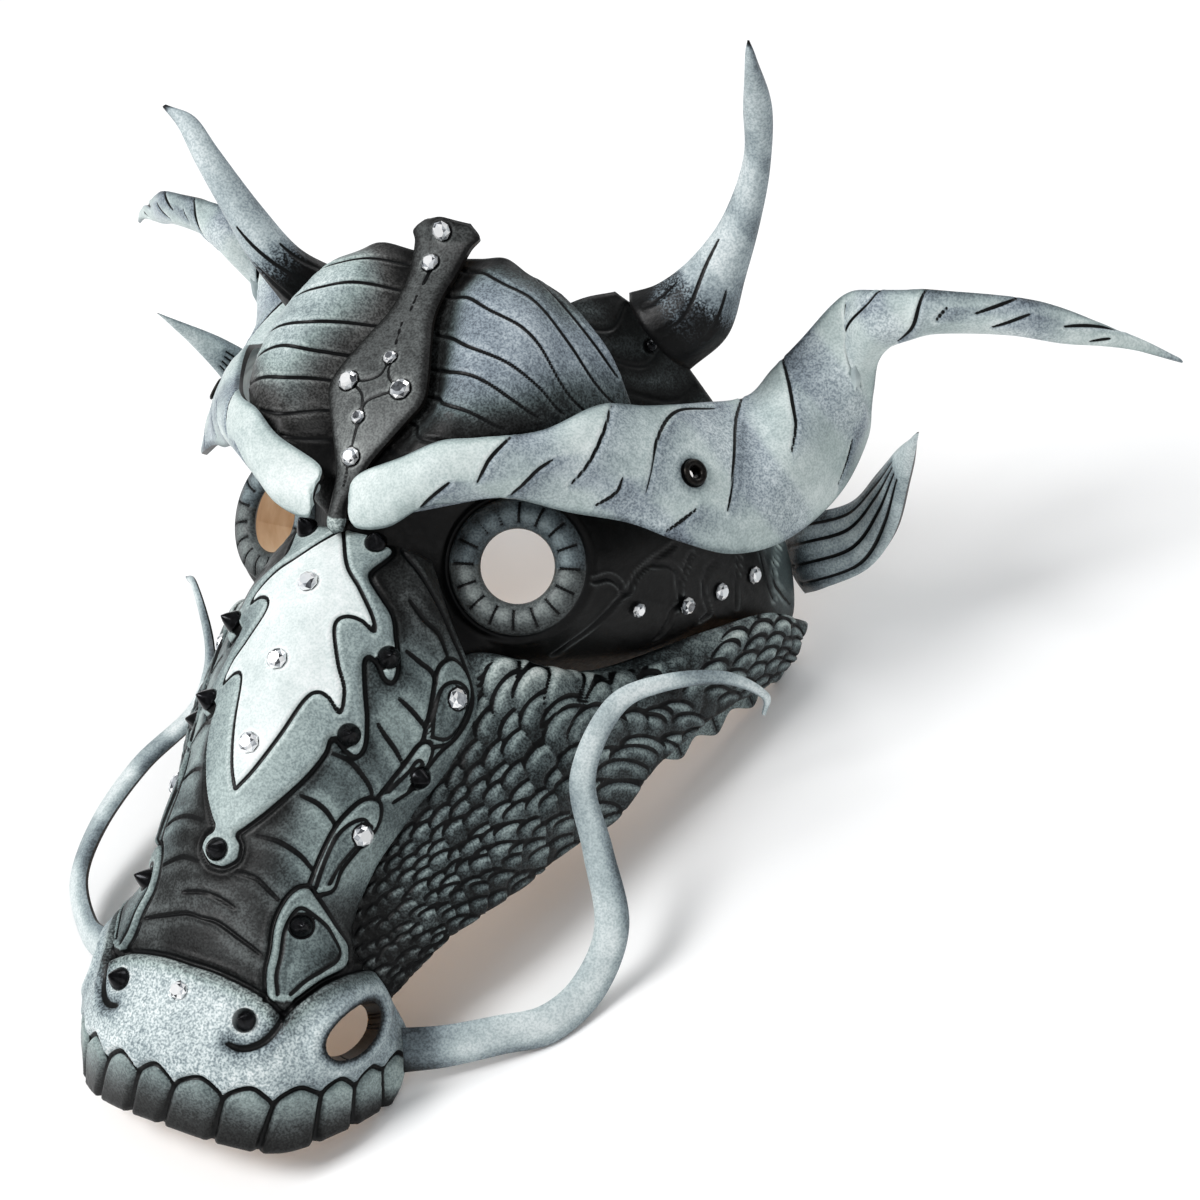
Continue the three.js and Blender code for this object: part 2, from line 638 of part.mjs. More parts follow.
function addStones() {
  crestStones.forEach(({ near, radius }, index) => {
    addPiece(`crest_stone_${index + 1}`, setOn(crestSurface, near, forward, stoneGeometry(radius)), clearStone);
  });
  zigzagStones.forEach((near, index) => {
    const stone = setOn(snoutSurface, near, forward, stoneGeometry(stoneRadius), plateHeight);
    addPiece(`zigzag_stone_${index + 1}`, stone, clearStone);
  });
  const noseStone = setOn(snoutSurface, [0, -93, -128], forward, stoneGeometry(3.2), plateHeight);
  addPiece('nose_stone', noseStone, clearStone);
  lobeStones.forEach((near, index) => {
    const stone = setOn(snoutSurface, near, [1, -1, 0], stoneGeometry(stoneRadius));
    addPieceOnBothSides('lobe_stone', index + 1, stone, clearStone);
  });
  templeStones.forEach((near, index) => {
    const stone = setOn(eyeMaskSurface, near, [1, 0, 0], stoneGeometry(index === 0 ? 2.6 : 3.2), 0.35);
    addPieceOnBothSides('temple_stone', index + 1, stone, clearStone);
  });
}

function addSpikes() {
  zigzagSpikes.forEach((near, index) => {
    const spike = setOn(snoutSurface, near, forward, spikeGeometry(), plateHeight);
    addPieceOnBothSides('zigzag_spike', index + 1, spike, blackMetal);
  });
  const tipSpike = setOn(snoutSurface, [0, -70, -89], forward, spikeGeometry(), plateHeight);
  addPiece('zigzag_spike_tip', tipSpike, blackMetal);
  lobeSpikes.forEach((near, index) => {
    const spike = setOn(snoutSurface, near, [1, -1, 0], spikeGeometry());
    addPieceOnBothSides('lobe_spike', index + 1, spike, blackMetal);
  });
  const noseSpike = setOn(snoutSurface, [24, -92, -132], forward, spikeGeometry(), plateHeight);
  addPair('nose_spike', noseSpike, blackMetal);
}

function addPieceOnBothSides(name, number, geometry, paint) {
  addPiece(`${name}_left_${number}`, geometry, paint);
  addPiece(`${name}_right_${number}`, mirrored(geometry), paint);
}

addPiece('snout', buildSnout(), paleTeal);
addPiece('forehead', buildForehead(), greyBrow);
addPiece('crest', buildCrest(), darkLeather);
addPair('eye_mask', buildEyeMask(), darkLeather);
addPair('cheek', buildCheek(), scaleLeather);
addPair('jaw_frill', buildFrill(), darkLeather);
addPair('crown_band', buildCrownBand(), darkLeather);
addPair('brow_horn', buildBrowHorn(), paleTeal);
addPair('eyelet', buildEyelet(), brass);
addPair('band_rivet', buildRivet(), blackMetal);
addPiece('crown_horn_left', buildCrownHorn(crownHornLeftStations), paleTeal);
addPiece('crown_horn_right', buildCrownHorn(crownHornRightStations), paleTeal);
addPair('ear', buildEar(), paleTeal);
addPiece('whisker_left', buildWhisker(whiskerLeftStations), paleTeal);
addPiece('whisker_right', buildWhisker(whiskerRightStations), paleTeal);

addStones();
addSpikes();

const mask = new THREE.Group();
mask.add(worn);
worn.rotation.x = THREE.MathUtils.degToRad(-restPitch);
mask.updateMatrixWorld(true);
const room = new THREE.Box3().setFromObject(mask, true);
worn.position.set(0, -(room.min.y + room.max.y) / 2, -room.min.z);

export default mask;
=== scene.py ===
import math
import random
import bpy
import bmesh
import numpy as np
from types import SimpleNamespace
from mathutils import Matrix, Vector, kdtree


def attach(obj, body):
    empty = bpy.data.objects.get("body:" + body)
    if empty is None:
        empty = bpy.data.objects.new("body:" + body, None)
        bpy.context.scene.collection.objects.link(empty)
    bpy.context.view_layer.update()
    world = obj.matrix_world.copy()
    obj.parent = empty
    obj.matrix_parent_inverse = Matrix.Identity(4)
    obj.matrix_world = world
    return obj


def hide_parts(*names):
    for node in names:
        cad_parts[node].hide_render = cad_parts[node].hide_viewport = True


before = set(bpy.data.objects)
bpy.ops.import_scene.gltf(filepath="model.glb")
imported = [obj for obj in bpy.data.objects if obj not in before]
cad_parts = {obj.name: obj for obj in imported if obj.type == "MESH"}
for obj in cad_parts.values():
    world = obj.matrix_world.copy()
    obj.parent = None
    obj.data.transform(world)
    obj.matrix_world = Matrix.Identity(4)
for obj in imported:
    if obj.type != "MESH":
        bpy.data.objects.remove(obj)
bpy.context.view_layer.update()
random.seed(11)

# The mask is shaped in mm as it is worn, then tipped and lifted to how it lies on the floor
lying = {"pitch": math.radians(23.05), "back": -5.918, "lift": 132.956}


def tipped(p):
    c, s = math.cos(lying["pitch"]), math.sin(lying["pitch"])
    return np.stack([p[..., 0], p[..., 1] * c + p[..., 2] * s, p[..., 2] * c - p[..., 1] * s], axis=-1)


def atRest(p):
    return (tipped(p) + [0, lying["back"], lying["lift"]]) / 1000


def asWorn(q):
    c, s = math.cos(lying["pitch"]), math.sin(lying["pitch"])
    q = np.asarray(q) * 1000 - [0, lying["back"], lying["lift"]]
    return np.stack([q[..., 0], q[..., 1] * c - q[..., 2] * s, q[..., 2] * c + q[..., 1] * s], axis=-1)


def unit(a):
    return a / (np.linalg.norm(a, axis=-1, keepdims=True) + 1e-12)


def addObject(name, data):
    obj = bpy.data.objects.new(name, data)
    bpy.context.scene.collection.objects.link(obj)
    return obj


def meshObject(bm, name, mats):
    mesh = bpy.data.meshes.new(name)
    bm.to_mesh(mesh)
    bm.free()
    for mat in mats:
        mesh.materials.append(mat)
    return addObject(name, mesh)


# Camera as the mask is worn: degrees, mm from the knob between the brows, focal length in pixels
cameraSetup = {"azimuth": 29, "elevation": 22, "depth": 715, "focal": 2200, "picture": 1200,
               "knobAt": (337, 517)}


def addCamera():
    azimuth, elevation = math.radians(cameraSetup["azimuth"]), math.radians(cameraSetup["elevation"])
    depth, focal, picture = cameraSetup["depth"], cameraSetup["focal"], cameraSetup["picture"]
    back = np.array([math.sin(azimuth) * math.cos(elevation), -math.cos(azimuth) * math.cos(elevation),
                     math.sin(elevation)])
    right = np.array([math.cos(azimuth), math.sin(azimuth), 0])
    up = np.cross(back, right)
    aside = (cameraSetup["knobAt"][0] - picture / 2) / focal * depth
    above = (picture / 2 - cameraSetup["knobAt"][1]) / focal * depth
    place = back * depth - right * aside - up * above
    data = bpy.data.cameras.new("camera")
    data.sensor_width = 36
    data.lens = data.sensor_width * focal / picture
    data.clip_start = 0.05
    data.clip_end = 30
    cam = addObject("camera", data)
    axes = Matrix([tipped(right), tipped(up), tipped(back)]).transposed()
    cam.matrix_world = Matrix.Translation(Vector(atRest(place))) @ axes.to_4x4()
    bpy.context.scene.camera = cam


def linear(hexColour):
    parts = [int(hexColour[i:i + 2], 16) / 255 for i in (1, 3, 5)]
    return [c / 12.92 if c <= 0.04045 else ((c + 0.055) / 1.055) ** 2.4 for c in parts] + [1]


# Adds a node: sockets are values or other sockets, stops fill a colour ramp; gives back the socket out
def node(mat, kind, sockets=None, out=0, stops=None, **settings):
    made = mat.node_tree.nodes.new("ShaderNode" + kind)
    for key, value in settings.items():
        setattr(made, key, value)
    for key, value in (sockets or {}).items():
        if isinstance(value, bpy.types.NodeSocket):
            mat.node_tree.links.new(value, made.inputs[key])
        else:
            made.inputs[key].default_value = value
    for count, (place, colour) in enumerate(stops or []):
        marks = made.color_ramp.elements
        mark = marks[count] if count < 2 else marks.new(place)
        mark.position = place
        mark.color = linear(colour)
    return made.outputs[out] if len(made.outputs) else None


def newMaterial(name):
    mat = bpy.data.materials.new(name)
    mat.use_nodes = True
    mat.node_tree.nodes.clear()
    return mat, node(mat, "TexCoord", out="Object")


def finishMaterial(mat, sockets):
    shader = node(mat, "BsdfPrincipled", sockets)
    node(mat, "OutputMaterial", {"Surface": shader})
    return mat


# Acrylic dabbed with a sponge and dry-brushed over moulded, black-dyed hide. Sizes in mm.
# Tone runs from 0 dark to 1 pale; hue from 0 slate over 0.5 teal to 1 warm grey.
acrylic = {
    "speckleMm": 0.75, "clumpMm": 2.4, "cloudMm": 19, "grainMm": 1.1, "cloud": 0.07, "cutBlack": "#060708",
    "roughest": 0.52, "smoothest": 0.34, "gloss": 0.16,
    "stops": (0, 1, 0.15, 0.3, 0.45, 0.6, 0.75, 0.88),
    "slate": "#030304 #f4f6f8 #0f1114 #2a2e35 #525a66 #828c99 #b0b9c2 #d8dee3",
    "teal": "#030303 #f2f6f5 #101212 #2c3233 #566162 #839190 #afbebb #d6e0dd",
    "warm": "#030303 #f1f1ef #111010 #2c2b2a #525150 #7e7d7b #acaba8 #d5d5d1",
}


def paintedLeather():
    mat, where = newMaterial("painted_leather")
    spots, clumps, clouds = [
        node(mat, "TexNoise", {"Vector": where, "Scale": 1000 / acrylic[size], "Detail": detail,
                               "Roughness": rough})
        for size, detail, rough in (("speckleMm", 1, 0.5), ("clumpMm", 2, 0.6), ("cloudMm", 3, 0.55))]
    tone, hue, ink, speckle = [node(mat, "Attribute", out="Fac", attribute_name=name)
                               for name in ("tone", "hue", "ink", "speckle")]
    fine, coarse, drift, sheen, toTeal, toWarm = [
        node(mat, "MapRange", {"Value": value, "From Min": low, "From Max": high,
                               "To Min": start, "To Max": end})
        for value, low, high, start, end in (
            (spots, 0.36, 0.6, -1, 0.7), (clumps, 0.32, 0.68, -0.5, 0.45),
            (clouds, 0.3, 0.7, -acrylic["cloud"], acrylic["cloud"]),
            (clumps, 0.3, 0.7, acrylic["smoothest"], acrylic["roughest"]),
            (hue, 0, 0.5, 0, 1), (hue, 0.5, 1, 0, 1))]
    dabs = node(mat, "Math", {0: fine, 1: coarse}, operation="ADD")
    dabbed = node(mat, "Math", {0: dabs, 1: speckle, 2: tone}, operation="MULTIPLY_ADD")
    tone = node(mat, "Math", {0: dabbed, 1: drift}, operation="ADD")
    slate, teal, warm = [
        node(mat, "ValToRGB", {"Fac": tone}, stops=zip(acrylic["stops"], acrylic[name].split()))
        for name in ("slate", "teal", "warm")]
    cool = node(mat, "Mix", {0: toTeal, 6: slate, 7: teal}, out=2, data_type="RGBA")
    coat = node(mat, "Mix", {0: toWarm, 6: cool, 7: warm}, out=2, data_type="RGBA")
    uncut = node(mat, "MapRange", {"Value": ink, "From Min": 0.8, "From Max": 1.12},
                 interpolation_type="SMOOTHSTEP")
    colour = node(mat, "Mix", {0: uncut, 6: linear(acrylic["cutBlack"]), 7: coat}, out=2, data_type="RGBA")
    grain = node(mat, "TexVoronoi", {"Vector": where, "Scale": 1000 / acrylic["grainMm"]})
    rough = node(mat, "Math", {0: grain, 1: spots}, operation="ADD")
    bump = node(mat, "Bump", {"Height": rough, "Strength": 0.3, "Distance": 0.00012})
    return finishMaterial(mat, {"Base Color": colour, "Roughness": sheen, "Normal": bump,
                                "Specular IOR Level": acrylic["gloss"]})


# Hides and metals that show less: colour stops over noise of one size, roughness by a finer nap, in mm
plainFinishes = {
    # undyed vegetable-tanned hide on the inside: even tan, soft nap
    "raw_leather": {"sizeMm": 33, "napMm": 1.4,
                    "stops": [(0.3, "#c59a6e"), (0.7, "#ead3b5"), (0.5, "#dbb992")],
                    "smoothest": 0.7, "roughest": 0.8, "metallic": 0, "bump": 0.5},
    # thin grey wash brushed over the backs of horns, ears and whiskers
    "washed_leather": {"sizeMm": 14, "napMm": 1.2,
                       "stops": [(0.3, "#7f8b8e"), (0.7, "#c3cecd"), (0.5, "#a5b1b2")],
                       "smoothest": 0.5, "roughest": 0.65, "metallic": 0, "bump": 0.4},
    # burnished, blackened cut edge of the hide
    "cut_edge": {"sizeMm": 3.8, "napMm": 0.9, "stops": [(0.35, "#0b0a0a"), (0.65, "#26221f")],
                 "smoothest": 0.4, "roughest": 0.5, "metallic": 0, "bump": 0.2},
    # black nickel on cone studs and rivets, worn a little on the high spots
    "black_metal": {"sizeMm": 2, "napMm": 0.8, "stops": [(0.4, "#08080a"), (0.75, "#232427")],
                    "smoothest": 0.16, "roughest": 0.26, "metallic": 0.8, "bump": 0.02},
    # antiqued brass eyelet, nearly black
    "eyelet_metal": {"sizeMm": 2, "napMm": 0.8, "stops": [(0.4, "#0b0a0a"), (0.75, "#2a2622")],
                     "smoothest": 0.3, "roughest": 0.42, "metallic": 0.8, "bump": 0.05},
}


def plainFinish(name):
    look = plainFinishes[name]
    mat, where = newMaterial(name)
    cloud, nap = [
        node(mat, "TexNoise", {"Vector": where, "Scale": 1000 / look[size], "Detail": detail,
                               "Roughness": rough})
        for size, detail, rough in (("sizeMm", 4, 0.6), ("napMm", 2, 0.7))]
    colour = node(mat, "ValToRGB", {"Fac": cloud}, stops=look["stops"])
    rough = node(mat, "MapRange", {"Value": nap, "From Min": 0.3, "From Max": 0.7,
                                   "To Min": look["smoothest"], "To Max": look["roughest"]})
    bump = node(mat, "Bump", {"Height": nap, "Strength": look["bump"], "Distance": 0.0002})
    return finishMaterial(mat, {"Base Color": colour, "Metallic": look["metallic"], "Roughness": rough,
                                "Normal": bump})


# Foil-backed cut glass. How bright each facet looks is painted into its colour from a per-facet attribute:
# painted glints and painted reflections, some facets bright and others dark. Its flaws are about 1.4 mm
# across, coarser than real ones so that they show.
stoneGlass = {"flawsPerMetre": 700, "flaw": 0.35, "foil": 0.35, "roughness": 0.07, "polish": 0.02,
              "stops": [(0.15, "#1b1c20"), (1.0, "#ffffff"), (0.4, "#8b8f96"), (0.62, "#dfe4e8")]}


def cutGlass():
    mat, where = newMaterial("clear_stone")
    paintedGlint = node(mat, "Attribute", out="Fac", attribute_name="paintedGlint")
    flaw = node(mat, "TexNoise", {"Vector": where, "Scale": stoneGlass["flawsPerMetre"], "Detail": 2})
    mixed = node(mat, "Math", {0: flaw, 1: stoneGlass["flaw"], 2: paintedGlint}, operation="MULTIPLY_ADD")
    colour = node(mat, "ValToRGB", {"Fac": mixed}, stops=stoneGlass["stops"])
    return finishMaterial(mat, {"Base Color": colour, "Metallic": stoneGlass["foil"], "Coat Weight": 1.0,
                                "Roughness": stoneGlass["roughness"], "Coat Roughness": stoneGlass["polish"]})


# Matt white backdrop paper, with a faint cloud every half metre
def floorPaper():
    mat, where = newMaterial("floor_paper")
    cloud = node(mat, "TexNoise", {"Vector": where, "Scale": 2, "Detail": 2})
    colour = node(mat, "ValToRGB", {"Fac": cloud}, stops=[(0.3, "#f6f6f6"), (0.7, "#ffffff")])
    return finishMaterial(mat, {"Base Color": colour, "Roughness": 0.9, "Specular IOR Level": 0.1})


# Soft boxes round the mask: name, place and size in m, power in W; all look at one spot
stage = {
    "floorHalf": 6, "sky": (0.96, 0.98, 1, 1), "skyStrength": 0.4, "aim": (0, 0, 0.1),
    "lamps": [("key", (-0.7, -0.7, 1.5), 0.7, 24), ("fill", (1.4, -1.0, 0.9), 1.2, 4),
              ("rim", (0.3, 1.4, 1.2), 0.9, 11)],
}


def addStage():
    bm = bmesh.new()
    bmesh.ops.create_grid(bm, x_segments=2, y_segments=2, size=stage["floorHalf"])
    floor = meshObject(bm, "floor", [floorPaper()])
    world = bpy.data.worlds.new("world")
    world.use_nodes = True
    sky = world.node_tree.nodes["Background"].inputs
    sky["Color"].default_value = stage["sky"]
    sky["Strength"].default_value = stage["skyStrength"]
    bpy.context.scene.world = world
    bpy.context.scene.view_settings.view_transform = "Standard"
    for name, place, size, power in stage["lamps"]:
        data = bpy.data.lights.new(name, "AREA")
        data.energy = power
        data.size = size
        lamp = addObject(name, data)
        lamp.location = place
        lamp.rotation_euler = (Vector(stage["aim"]) - Vector(place)).to_track_quat("-Z", "Y").to_euler()


# Smooth curve through guide points, at each t from 0 to 1; the guides may carry several curves at once
def smooth(points, t, closed=False):
    points, t = np.asarray(points, float), np.asarray(t, float)
    count = points.shape[-2]
    if closed:
        spot = t * count
        i = np.floor(spot).astype(int)
        p0, p1, p2, p3 = [points[..., (i + k) % count, :] for k in (-1, 0, 1, 2)]
    else:
        spot = t * (count - 1)
        i = np.clip(np.floor(spot).astype(int), 0, count - 2)
        before = 2 * points[..., :1, :] - points[..., 1:2, :]
        after = 2 * points[..., -1:, :] - points[..., -2:-1, :]
        ends = np.concatenate([before, points, after], axis=-2)
        p0, p1, p2, p3 = [ends[..., i + k, :] for k in (0, 1, 2, 3)]
    w = (spot - i)[:, None]
    m1, m2 = (p2 - p0) / 2, (p3 - p1) / 2
    return p1 + m1 * w + (3 * (p2 - p1) - 2 * m1 - m2) * w ** 2 + (2 * (p1 - p2) + m1 + m2) * w ** 3


# Surface through rows of guide points: u runs along a row, v from row to row
def surface(rows):
    guides = np.asarray(rows, float)
    return lambda us, vs: smooth(smooth(guides, us).swapaxes(0, 1), vs).swapaxes(0, 1)


# Lines drawn on a piece: u, v after u, v, in thousandths of its width and length
def drawn(*lines):
    return [[(u / 1000, v / 1000) for u, v in zip(line[::2], line[1::2])] for line in lines]


def bothHalves(half):
    return [[-x, y, z] for x, y, z in half[:0:-1]] + half


def headings(path):
    padded = np.concatenate([path[:1], path, path[-1:]])
    return padded[2:] - padded[:-2]


# Strip through stations: a point of its upper edge, one of its lower edge, and how far its middle stands out
def archedStrip(stations):
    upper, lower, rise = np.split(np.array(stations, float), (3, 6), axis=1)
    middle, chord = (upper + lower) / 2, lower - upper
    out = unit(np.cross(chord, headings(middle)))
    half = np.linalg.norm(chord, axis=1, keepdims=True) / 2
    radius = (half ** 2 + rise ** 2) / (2 * rise)
    opening = 2 * np.arctan(rise / half)
    columns = [middle + chord * radius * np.sin(k * opening) / (2 * half)
               + out * radius * (np.cos(k * opening) - np.cos(opening)) for k in (-1, -0.5, 0, 0.5, 1)]
    return surface(np.stack(columns, axis=1))


# Strip through stations: a point of its middle, the way it looks there, its width and its curl in degrees
def curledStrip(stations):
    path, out, width, curl = np.split(np.array(stations, float), (3, 6, 7), axis=1)
    tangent = unit(headings(path))
    out = unit(out - tangent * (out * tangent).sum(1, keepdims=True))
    side = np.cross(tangent, out)
    arc = np.radians(curl)
    radius = width / arc
    columns = [path + side * radius * np.sin(k * arc) + out * radius * (np.cos(k * arc) - 1)
               for k in (-0.5, -0.25, 0, 0.25, 0.5)]
    return surface(np.stack(columns, axis=1))


# Places, outward directions and distances from the border, for every crossing of a grid on a surface
def laidOut(place, us, vs, ring=False):
    p = place(us, vs)
    wide = np.concatenate([p[:, -2:-1], p, p[:, 1:2]], axis=1) if ring else p
    du = np.gradient(wide, axis=1)
    if ring:
        du = du[:, 1:-1]
    out = unit(np.cross(du, np.gradient(p, axis=0)))
    u, v = np.meshgrid(us, vs)
    steps = np.linalg.norm(np.diff(p, axis=0), axis=2).cumsum(0)
    along = np.concatenate([np.zeros((1, len(us))), steps])
    border = np.minimum(along, along[-1] - along)
    grid = SimpleNamespace(us=us, vs=vs, u=u, v=v, p=p, out=out, ring=ring)
    if not ring:
        steps = np.linalg.norm(np.diff(p, axis=1), axis=2).cumsum(1)
        across = np.concatenate([np.zeros((len(vs), 1)), steps], axis=1)
        grid.across = across
        border = np.minimum(border, np.minimum(across, across[:, -1:] - across))
    grid.border = border
    return grid


def lengthOf(grid):
    return np.linalg.norm(np.diff(grid.p[:, len(grid.us) // 2], axis=0), axis=1).sum()


def evenGrid(place, piece):
    return laidOut(place, np.linspace(0, 1, piece["columns"] + 1), np.linspace(0, 1, piece["rows"] + 1))


# Spots at even gaps in mm along a smooth line drawn in (u, v), each with how thin the line is there
def traced(grid, line, gap):
    uv = smooth(np.asarray(line, float), np.linspace(0, 1, 60 * len(line)))
    x = np.interp(uv[:, 0], grid.us, np.arange(len(grid.us)))
    y = np.interp(uv[:, 1], grid.vs, np.arange(len(grid.vs)))
    i = np.clip(x.astype(int), 0, len(grid.us) - 2)
    j = np.clip(y.astype(int), 0, len(grid.vs) - 2)
    fx, fy, p = (x - i)[:, None], (y - j)[:, None], grid.p
    spots = ((p[j, i] * (1 - fx) + p[j, i + 1] * fx) * (1 - fy)
             + (p[j + 1, i] * (1 - fx) + p[j + 1, i + 1] * fx) * fy)
    length = np.concatenate([[0], np.linalg.norm(np.diff(spots, axis=0), axis=1).cumsum()])
    marks = np.arange(0, length[-1], gap)
    spots = np.stack([np.interp(marks, length, spots[:, k]) for k in range(3)], axis=1)
    thin = 1 - np.sin(math.pi * np.clip(marks / length[-1], 0.02, 0.98)) ** 0.6
    return spots, thin


# Right half laid over the left
def toLeft(p):
    return np.abs(p * [1, 0, 0]) + p * [0, 1, 1]


# Distance in mm from every grid point to the nearest spot
def farFrom(grid, spots, extra=None, folded=False):
    p = toLeft(grid.p) if folded else grid.p
    spots = toLeft(spots) if folded else spots
    tree = kdtree.KDTree(len(spots))
    for index, spot in enumerate(spots):
        tree.insert(spot, index)
    tree.balance()
    found = [tree.find(q)[1:] for q in p.reshape(-1, 3).tolist()]
    far = np.array([f[1] for f in found])
    if extra is not None:
        far = far + extra[[f[0] for f in found]]
    return far.reshape(grid.u.shape)


# Distance to carved lines; folded lines count on both halves, taper thins their ends by up to that many mm
def reach(grid, lines, gap=0.35, folded=False, taper=0.0):
    traces = [traced(grid, line, gap) for line in lines]
    spots = np.concatenate([spot for spot, _ in traces])
    extra = np.concatenate([thin for _, thin in traces]) * taper
    return farFrom(grid, spots, extra, folded)


def inside(u, v, outline):
    result = np.zeros(u.shape, bool)
    for (a, b), (c, d) in zip(outline, outline[1:] + outline[:1]):
        if b != d:
            result ^= ((v < b) != (v < d)) & (u < a + (c - a) * (v - b) / (d - b))
    return result


# Soft step from 0 at low to 1 at high
def blend(low, high, value):
    t = np.clip((value - low) / (high - low), 0, 1)
    return t * t * (3 - 2 * t)


def hump(middle, width, value):
    return np.exp(-((value - middle) / width) ** 2)


# A cut with a small lip thrown up on either side
def cut(distance, width, depth):
    return depth * (0.3 * hump(2.2, 1, distance / width) - hump(0, 1, distance / width))


# Slow wander between 0 and 1 over a grid, for uneven paint
def wander(grid, size, seed):
    q = grid.p / size
    total = 0
    for k in range(3):
        a, b, c = [math.sin(seed * 12.9 + k * 7.3 + n * 3.1) for n in range(3)]
        total = total + np.sin(q[..., 0] * (1 + a) + q[..., 1] * (1.3 + b) + q[..., 2] * (0.9 + c)
                               + seed + k * 2)
    return 0.5 + total / 6


# Lays a coat of paint over part of a piece
def coat(paint, where, **values):
    for key, value in values.items():
        paint[key] = np.where(where, value, paint[key])


# First coat: tone, hue and speckle as the painted material reads them, ink below 1 in the blackened cuts
def primed(grid, tone, hue, speckle, ink=9.0):
    paint = {"tone": tone, "hue": hue, "speckle": speckle, "ink": ink}
    return {key: np.broadcast_to(value, grid.u.shape) * 1.0 for key, value in paint.items()}


# Middle of the base, outward direction and largest radius of a small turned piece, in metres
def seatOf(nodeName):
    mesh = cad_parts[nodeName].data
    spots = np.unique(np.array([tuple(v.co) for v in mesh.vertices]).round(6), axis=0)
    middle = spots.mean(0)
    values, vectors = np.linalg.eigh(np.cov((spots - middle).T))
    odd = 0 if abs(values[1] - values[0]) > abs(values[2] - values[1]) else 2
    axis = vectors[:, odd]
    heights = (spots - middle) @ axis
    radii = np.linalg.norm((spots - middle) - heights[:, None] * axis, axis=1)
    wide = radii > radii.max() * 0.95
    above = heights[wide].mean() > heights.mean()
    outward = 1 if above == ("eyelet" in nodeName) else -1
    axis = axis * outward
    base = middle + axis * (heights[wide] * outward).min()
    return Vector(base), Vector(axis), float(radii.max())


trimNames = [name for name in sorted(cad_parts)
             if any(word in name for word in ("stone", "spike", "eyelet", "rivet"))]
seats = {name: seatOf(name) for name in trimNames}
seatPlaces = np.array([asWorn(seats[name][0]) for name in trimNames])
seatRadii = np.array([seats[name][2] * 1000 for name in trimNames])
# Each stone and stud sits in a punched seat: width of its black rim, a painted shadow round the stone, and
# place and width of its pale lip, a painted highlight, in mm
seatRim = {"black": 0.5, "lip": 0.95, "lipWidth": 0.35, "lipHighlightTone": 0.12, "depth": 0.25, "within": 1.5}


def punchSeats(grid, side, height, paint):
    places = seatPlaces * [side, 1, 1]
    low, high = grid.p.min((0, 1)) - 4, grid.p.max((0, 1)) + 4
    close = ((places > low) & (places < high)).all(1)
    if not close.any():
        return height, paint
    away = np.min([np.linalg.norm(grid.p - place, axis=2) - radius
                   for place, radius in zip(places[close], seatRadii[close])], axis=0)
    paint = dict(paint)
    # the black rim paints the shadow round each stone and stud; the pale lip is a painted highlight
    black = np.minimum(paint["ink"], np.maximum(away, 0) / seatRim["black"])
    coat(paint, away < seatRim["within"], ink=black)
    paint["tone"] = paint["tone"] + seatRim["lipHighlightTone"] * hump(seatRim["lip"], seatRim["lipWidth"], away)
    return height - seatRim["depth"] * blend(0.9, 0.2, away), paint


leatherMats = {}
# The outer edge is rounded by so many mm, or this share of a thin sheet, near the border; a strip is at full
# thickness from where it is this wide
edgeFinish = {"round": 0.7, "share": 0.35, "within": 1.4, "fullWidth": 12}


# Closed piece: the grid is extruded to an inner side, the outer side takes the height and the paint.
# Horns, ears and whiskers have a thin tip: they are pared toward it, and painted behind as well.
def leatherPiece(nodeName, piece, grid, height, paint, side=1, hole=None):
    columns, rows = len(grid.us) - 1, len(grid.vs) - 1
    bm = bmesh.new()
    bmesh.ops.create_grid(bm, x_segments=columns, y_segments=rows, size=0.5)
    height, paint = punchSeats(grid, side, height, paint)
    thickness = np.full(grid.u.shape, float(piece["thickness"]))
    if "tipThickness" in piece:
        full = blend(1, edgeFinish["fullWidth"], grid.across[:, -1:])
        thickness = piece["tipThickness"] + (thickness - piece["tipThickness"]) * full
    rounding = np.minimum(edgeFinish["round"], edgeFinish["share"] * thickness)
    rounding = rounding * (1 - blend(0, edgeFinish["within"], grid.border))
    p, gone = hole(grid.p) if hole else (grid.p, np.zeros(grid.u.shape, bool))
    outer = atRest(p + grid.out * (height - rounding)[..., None]) * [side, 1, 1]
    inner = atRest(p - grid.out * thickness[..., None]) * [side, 1, 1]
    spot = bm.verts.layers.int.new("spot")
    for vert in bm.verts:
        i = round((vert.co.x + 0.5) * columns)
        j = round((vert.co.y + 0.5) * rows)
        vert[spot] = j * (columns + 1) + i
        vert.co = inner[j, i]
    flatGone = gone.reshape(-1)
    doomed = [f for f in bm.faces if all(flatGone[v[spot]] for v in f.verts)]
    bmesh.ops.delete(bm, geom=doomed, context="FACES")
    if grid.ring:
        bmesh.ops.remove_doubles(bm, verts=bm.verts, dist=1e-6)
    innerFaces = bm.faces[:]
    made = bmesh.ops.extrude_face_region(bm, geom=innerFaces, use_keep_orig=True)["geom"]
    outerSet, innerSet = {g for g in made if isinstance(g, bmesh.types.BMFace)}, set(innerFaces)
    flatOuter = outer.reshape(-1, 3)
    for vert in [g for g in made if isinstance(g, bmesh.types.BMVert)]:
        vert.co = flatOuter[vert[spot]]
    for face in bm.faces:
        face.smooth = True
        face.material_index = 0 if face in outerSet else 1 if face in innerSet else 2
    bmesh.ops.recalc_face_normals(bm, faces=bm.faces)
    for edge in bm.edges:
        if len({f.material_index for f in edge.link_faces}) > 1:
            edge.smooth = False
    for key, values in paint.items():
        layer = bm.verts.layers.float.new(key)
        flat = values.reshape(-1)
        for vert in bm.verts:
            vert[layer] = flat[vert[spot]]
    bm.verts.layers.int.remove(spot)
    mats = [leatherMats[key] for key in ("painted", "washed" if "tipThickness" in piece else "raw", "edge")]
    finishPiece(bm, nodeName + "_leather", nodeName, mats)
    print("made", nodeName, grid.u.size)


